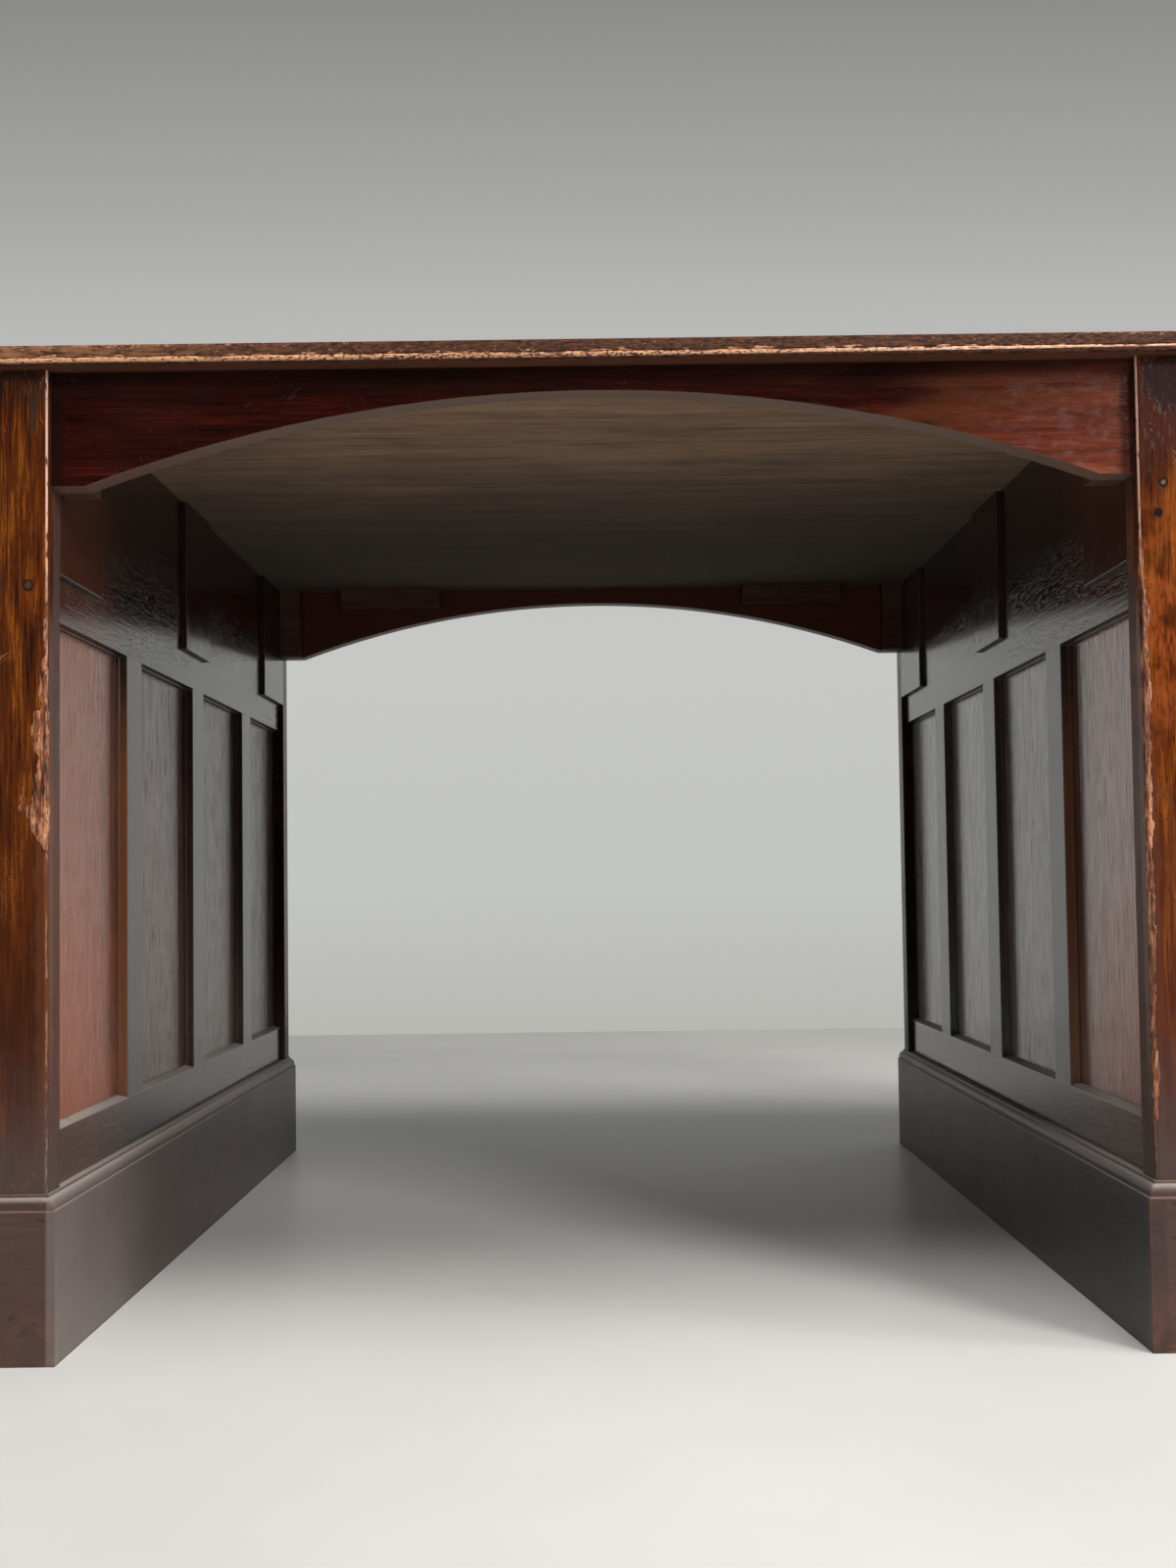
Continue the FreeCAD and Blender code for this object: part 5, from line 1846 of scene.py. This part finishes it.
@dataclass
class Lamp:
    """One soft light."""

    name: str
    place: Point
    aim: Point
    size: tuple[float, float]
    watts: float
    colour: Rgb = (1.0, 0.98, 0.95)

    def build(self) -> None:
        """Adds the light to the scene."""
        data = bpy.data.lights.new(self.name, "AREA")
        data.shape = "RECTANGLE"
        data.size, data.size_y = self.size
        data.energy = self.watts
        data.color = self.colour
        lamp = bpy.data.objects.new(self.name, data)
        bpy.context.scene.collection.objects.link(lamp)
        lamp.location = self.place
        lamp.rotation_mode = "QUATERNION"
        lamp.rotation_quaternion = (Vector(self.aim) - Vector(self.place)).to_track_quat("-Z", "Y")
        LOG.info("light %s", self.name)


@dataclass
class Stage:
    """Plain pale floor and backdrop, lights and the camera."""

    wall_y: float = 2.36
    half_width: float = 7.0
    wall_height: float = 5.0
    camera_place: Point = (-0.0052, -1.8257, 0.3514)
    yaw: float = 0.001
    pitch: float = 0.042
    roll: float = 0.0127
    lens: float = 39.78
    shift_y: float = 0.0184

    def build(self) -> None:
        """Builds floor, backdrop, world, lights and camera."""
        self.floor()
        self.backdrop()
        self.world()
        Lamp("key", place=(3.5, -4.75, 3.40), aim=(-0.1, -0.3, 0.35), size=(1.5, 1.25), watts=203.0).build()
        Lamp("side", place=(3.0, -1.35, 1.1), aim=(-0.43, -0.40, 0.45), size=(0.5, 0.5), watts=22.0).build()
        Lamp("overhead", place=(0.5, -1.33, 3.3), aim=(0.0, -0.85, 0.0), size=(2.3, 1.0), watts=104.0).build()
        self.camera()

    def plane(self, name: str, place: Point, turn: Point, size: Point) -> bpy.types.Object:
        """Adds one flat stage piece.

        Args:
            name: its name.
            place: its middle.
            turn: its rotation.
            size: its scale.

        Returns:
            The piece.
        """
        deselect()
        bpy.ops.mesh.primitive_plane_add(size=1.0, location=place, rotation=turn)
        piece = bpy.context.object
        piece.scale = size
        bpy.ops.object.transform_apply(location=True, rotation=True, scale=True)
        piece.name = name
        return piece

    @staticmethod
    def one_sided(wiring: Wiring, front: Feed) -> None:
        """Shows a stage piece from its front only.

        Args:
            wiring: the material's wiring.
            front: the shader of its front.
        """
        back = wiring.put("ShaderNodeNewGeometry").outputs["Backfacing"]
        shown = wiring.fed("ShaderNodeMixShader", back, front, wiring.fed("ShaderNodeBsdfTransparent"))
        wiring.fill(wiring.tree.nodes["Material Output"], Surface=shown)

    def floor(self) -> None:
        """A pale painted floor with a faint shine."""
        piece = self.plane("floor", (0.0, 0.0, 0.0), (0.0, 0.0, 0.0), (2 * self.half_width, 2 * self.half_width, 1.0))
        material, wiring, shader = open_material("pale_floor")
        cloud = wiring.noise(wiring.place(), 2.4, 4.0)
        pale = wiring.ramp(cloud, ((0.3, (0.63, 0.63, 0.615)), (0.7, (0.69, 0.69, 0.675))))
        wiring.fill(shader, Base_Color=pale, Roughness=cloud * 0.02 + 0.34, Specular_IOR_Level=0.03)
        self.one_sided(wiring, shader.outputs[0])
        piece.data.materials.append(material)

    def backdrop(self) -> None:
        """A pale wall behind the desk that glows for the camera and for reflections, with painted shade a little darker
        toward its top.
        """
        piece = self.plane("backdrop", (0.0, self.wall_y, self.wall_height / 2.0), (math.pi / 2.0, 0.0, 0.0),
                           (2 * self.half_width, self.wall_height, 1.0))
        material, wiring, _ = open_material("pale_backdrop")
        shade = wiring.ramp(
            wiring.split(wiring.place())[2] / 3.0,
            ((0.0, (0.48, 0.48, 0.45)), (0.12, (0.55, 0.56, 0.535)), (0.32, (0.57, 0.575, 0.555)),
             (0.58, (0.48, 0.48, 0.465)), (0.68, (0.38, 0.38, 0.365)), (0.86, (0.25, 0.25, 0.24))),
        )
        # Glows for camera, glossy and transmission rays, so its painted shade is seen directly and in reflections;
        # other rays meet a plain diffuse wall
        path = wiring.put("ShaderNodeLightPath")
        seen = wiring.math("MAXIMUM", path.outputs["Is Camera Ray"], path.outputs["Is Glossy Ray"])
        seen = wiring.math("MAXIMUM", seen, path.outputs["Is Transmission Ray"])
        diffuse = wiring.fed("ShaderNodeBsdfDiffuse", (0.6, 0.61, 0.59))
        glow = wiring.fed("ShaderNodeEmission", shade)
        self.one_sided(wiring, wiring.fed("ShaderNodeMixShader", seen, diffuse, glow))
        piece.data.materials.append(material)

    def world(self) -> None:
        """Plain grey surroundings."""
        world = bpy.data.worlds.new("surroundings")
        world.use_nodes = True
        bpy.context.scene.world = world
        wiring = Wiring(world.node_tree)
        ground = world.node_tree.nodes["Background"]
        ground.inputs[0].default_value = (0.93, 0.96, 1.0, 1.0)
        seen = wiring.read(wiring.put("ShaderNodeLightPath"), "Is Camera Ray")
        wiring.feed(ground.inputs[1], seen * 0.32 + 0.103)

    def camera(self) -> None:
        """Camera at the photograph's place and angle."""
        data = bpy.data.cameras.new("camera")
        data.sensor_width = 36.0
        data.lens = self.lens
        data.shift_y = self.shift_y
        data.clip_start = 0.05
        data.clip_end = 60.0
        camera = bpy.data.objects.new("camera", data)
        bpy.context.scene.collection.objects.link(camera)
        sideways = Vector((math.cos(self.yaw), math.sin(self.yaw), 0.0))
        level = Vector((-math.sin(self.yaw), math.cos(self.yaw), 0.0))
        up = Vector((0.0, 0.0, 1.0))
        forward = math.cos(self.pitch) * level + math.sin(self.pitch) * up
        raised = math.cos(self.pitch) * up - math.sin(self.pitch) * level
        right = math.cos(self.roll) * sideways - math.sin(self.roll) * raised
        above = math.sin(self.roll) * sideways + math.cos(self.roll) * raised
        turn = Matrix((right, above, -forward)).transposed().to_4x4()
        camera.matrix_world = Matrix.Translation(self.camera_place) @ turn
        bpy.context.scene.camera = camera
        LOG.info("camera at %s", tuple(round(part, 4) for part in self.camera_place))


# Height over the floor and reach on the front face of the torn wood on the two front posts
LEFT_TEARS = (
    (0.383, 0.003), (0.398, 0.012), (0.415, 0.023), (0.432, 0.015), (0.444, 0.008), (0.452, 0.009), (0.470, 0.013),
    (0.486, 0.011), (0.494, 0.005), (0.501, 0.009), (0.509, 0.005), (0.519, 0.007), (0.531, 0.003), (0.545, 0.004),
    (0.562, 0.0015),
)
RIGHT_TEARS = (
    (0.15, 0.0015), (0.20, 0.0045), (0.25, 0.0030), (0.33, 0.0055), (0.37, 0.0030), (0.41, 0.0055), (0.44, 0.0035),
    (0.49, 0.0075), (0.53, 0.0060), (0.57, 0.0050), (0.61, 0.0020),
)


def main() -> None:
    """Builds the sub-assemblies in order."""
    logging.basicConfig(level=logging.INFO, format="%(message)s")
    scene = bpy.context.scene
    scene.view_settings.view_transform = "Standard"
    Stage().build()
    Top().build()
    Aprons().build()
    TornArris(Side.LEFT, seed=3, stretches=LEFT_TEARS, low=0.36, high=0.58, front_reach=0.028,
              side_reach=0.007).build()
    TornArris(Side.RIGHT, seed=11, stretches=RIGHT_TEARS, low=0.13, high=0.64, front_reach=0.008,
              side_reach=0.005).build()
    knob = TurnedKnob().model()
    for side in Side:
        Pedestal(side, knob).build()
    bpy.data.objects.remove(knob)


if __name__ == "__main__":
    main()
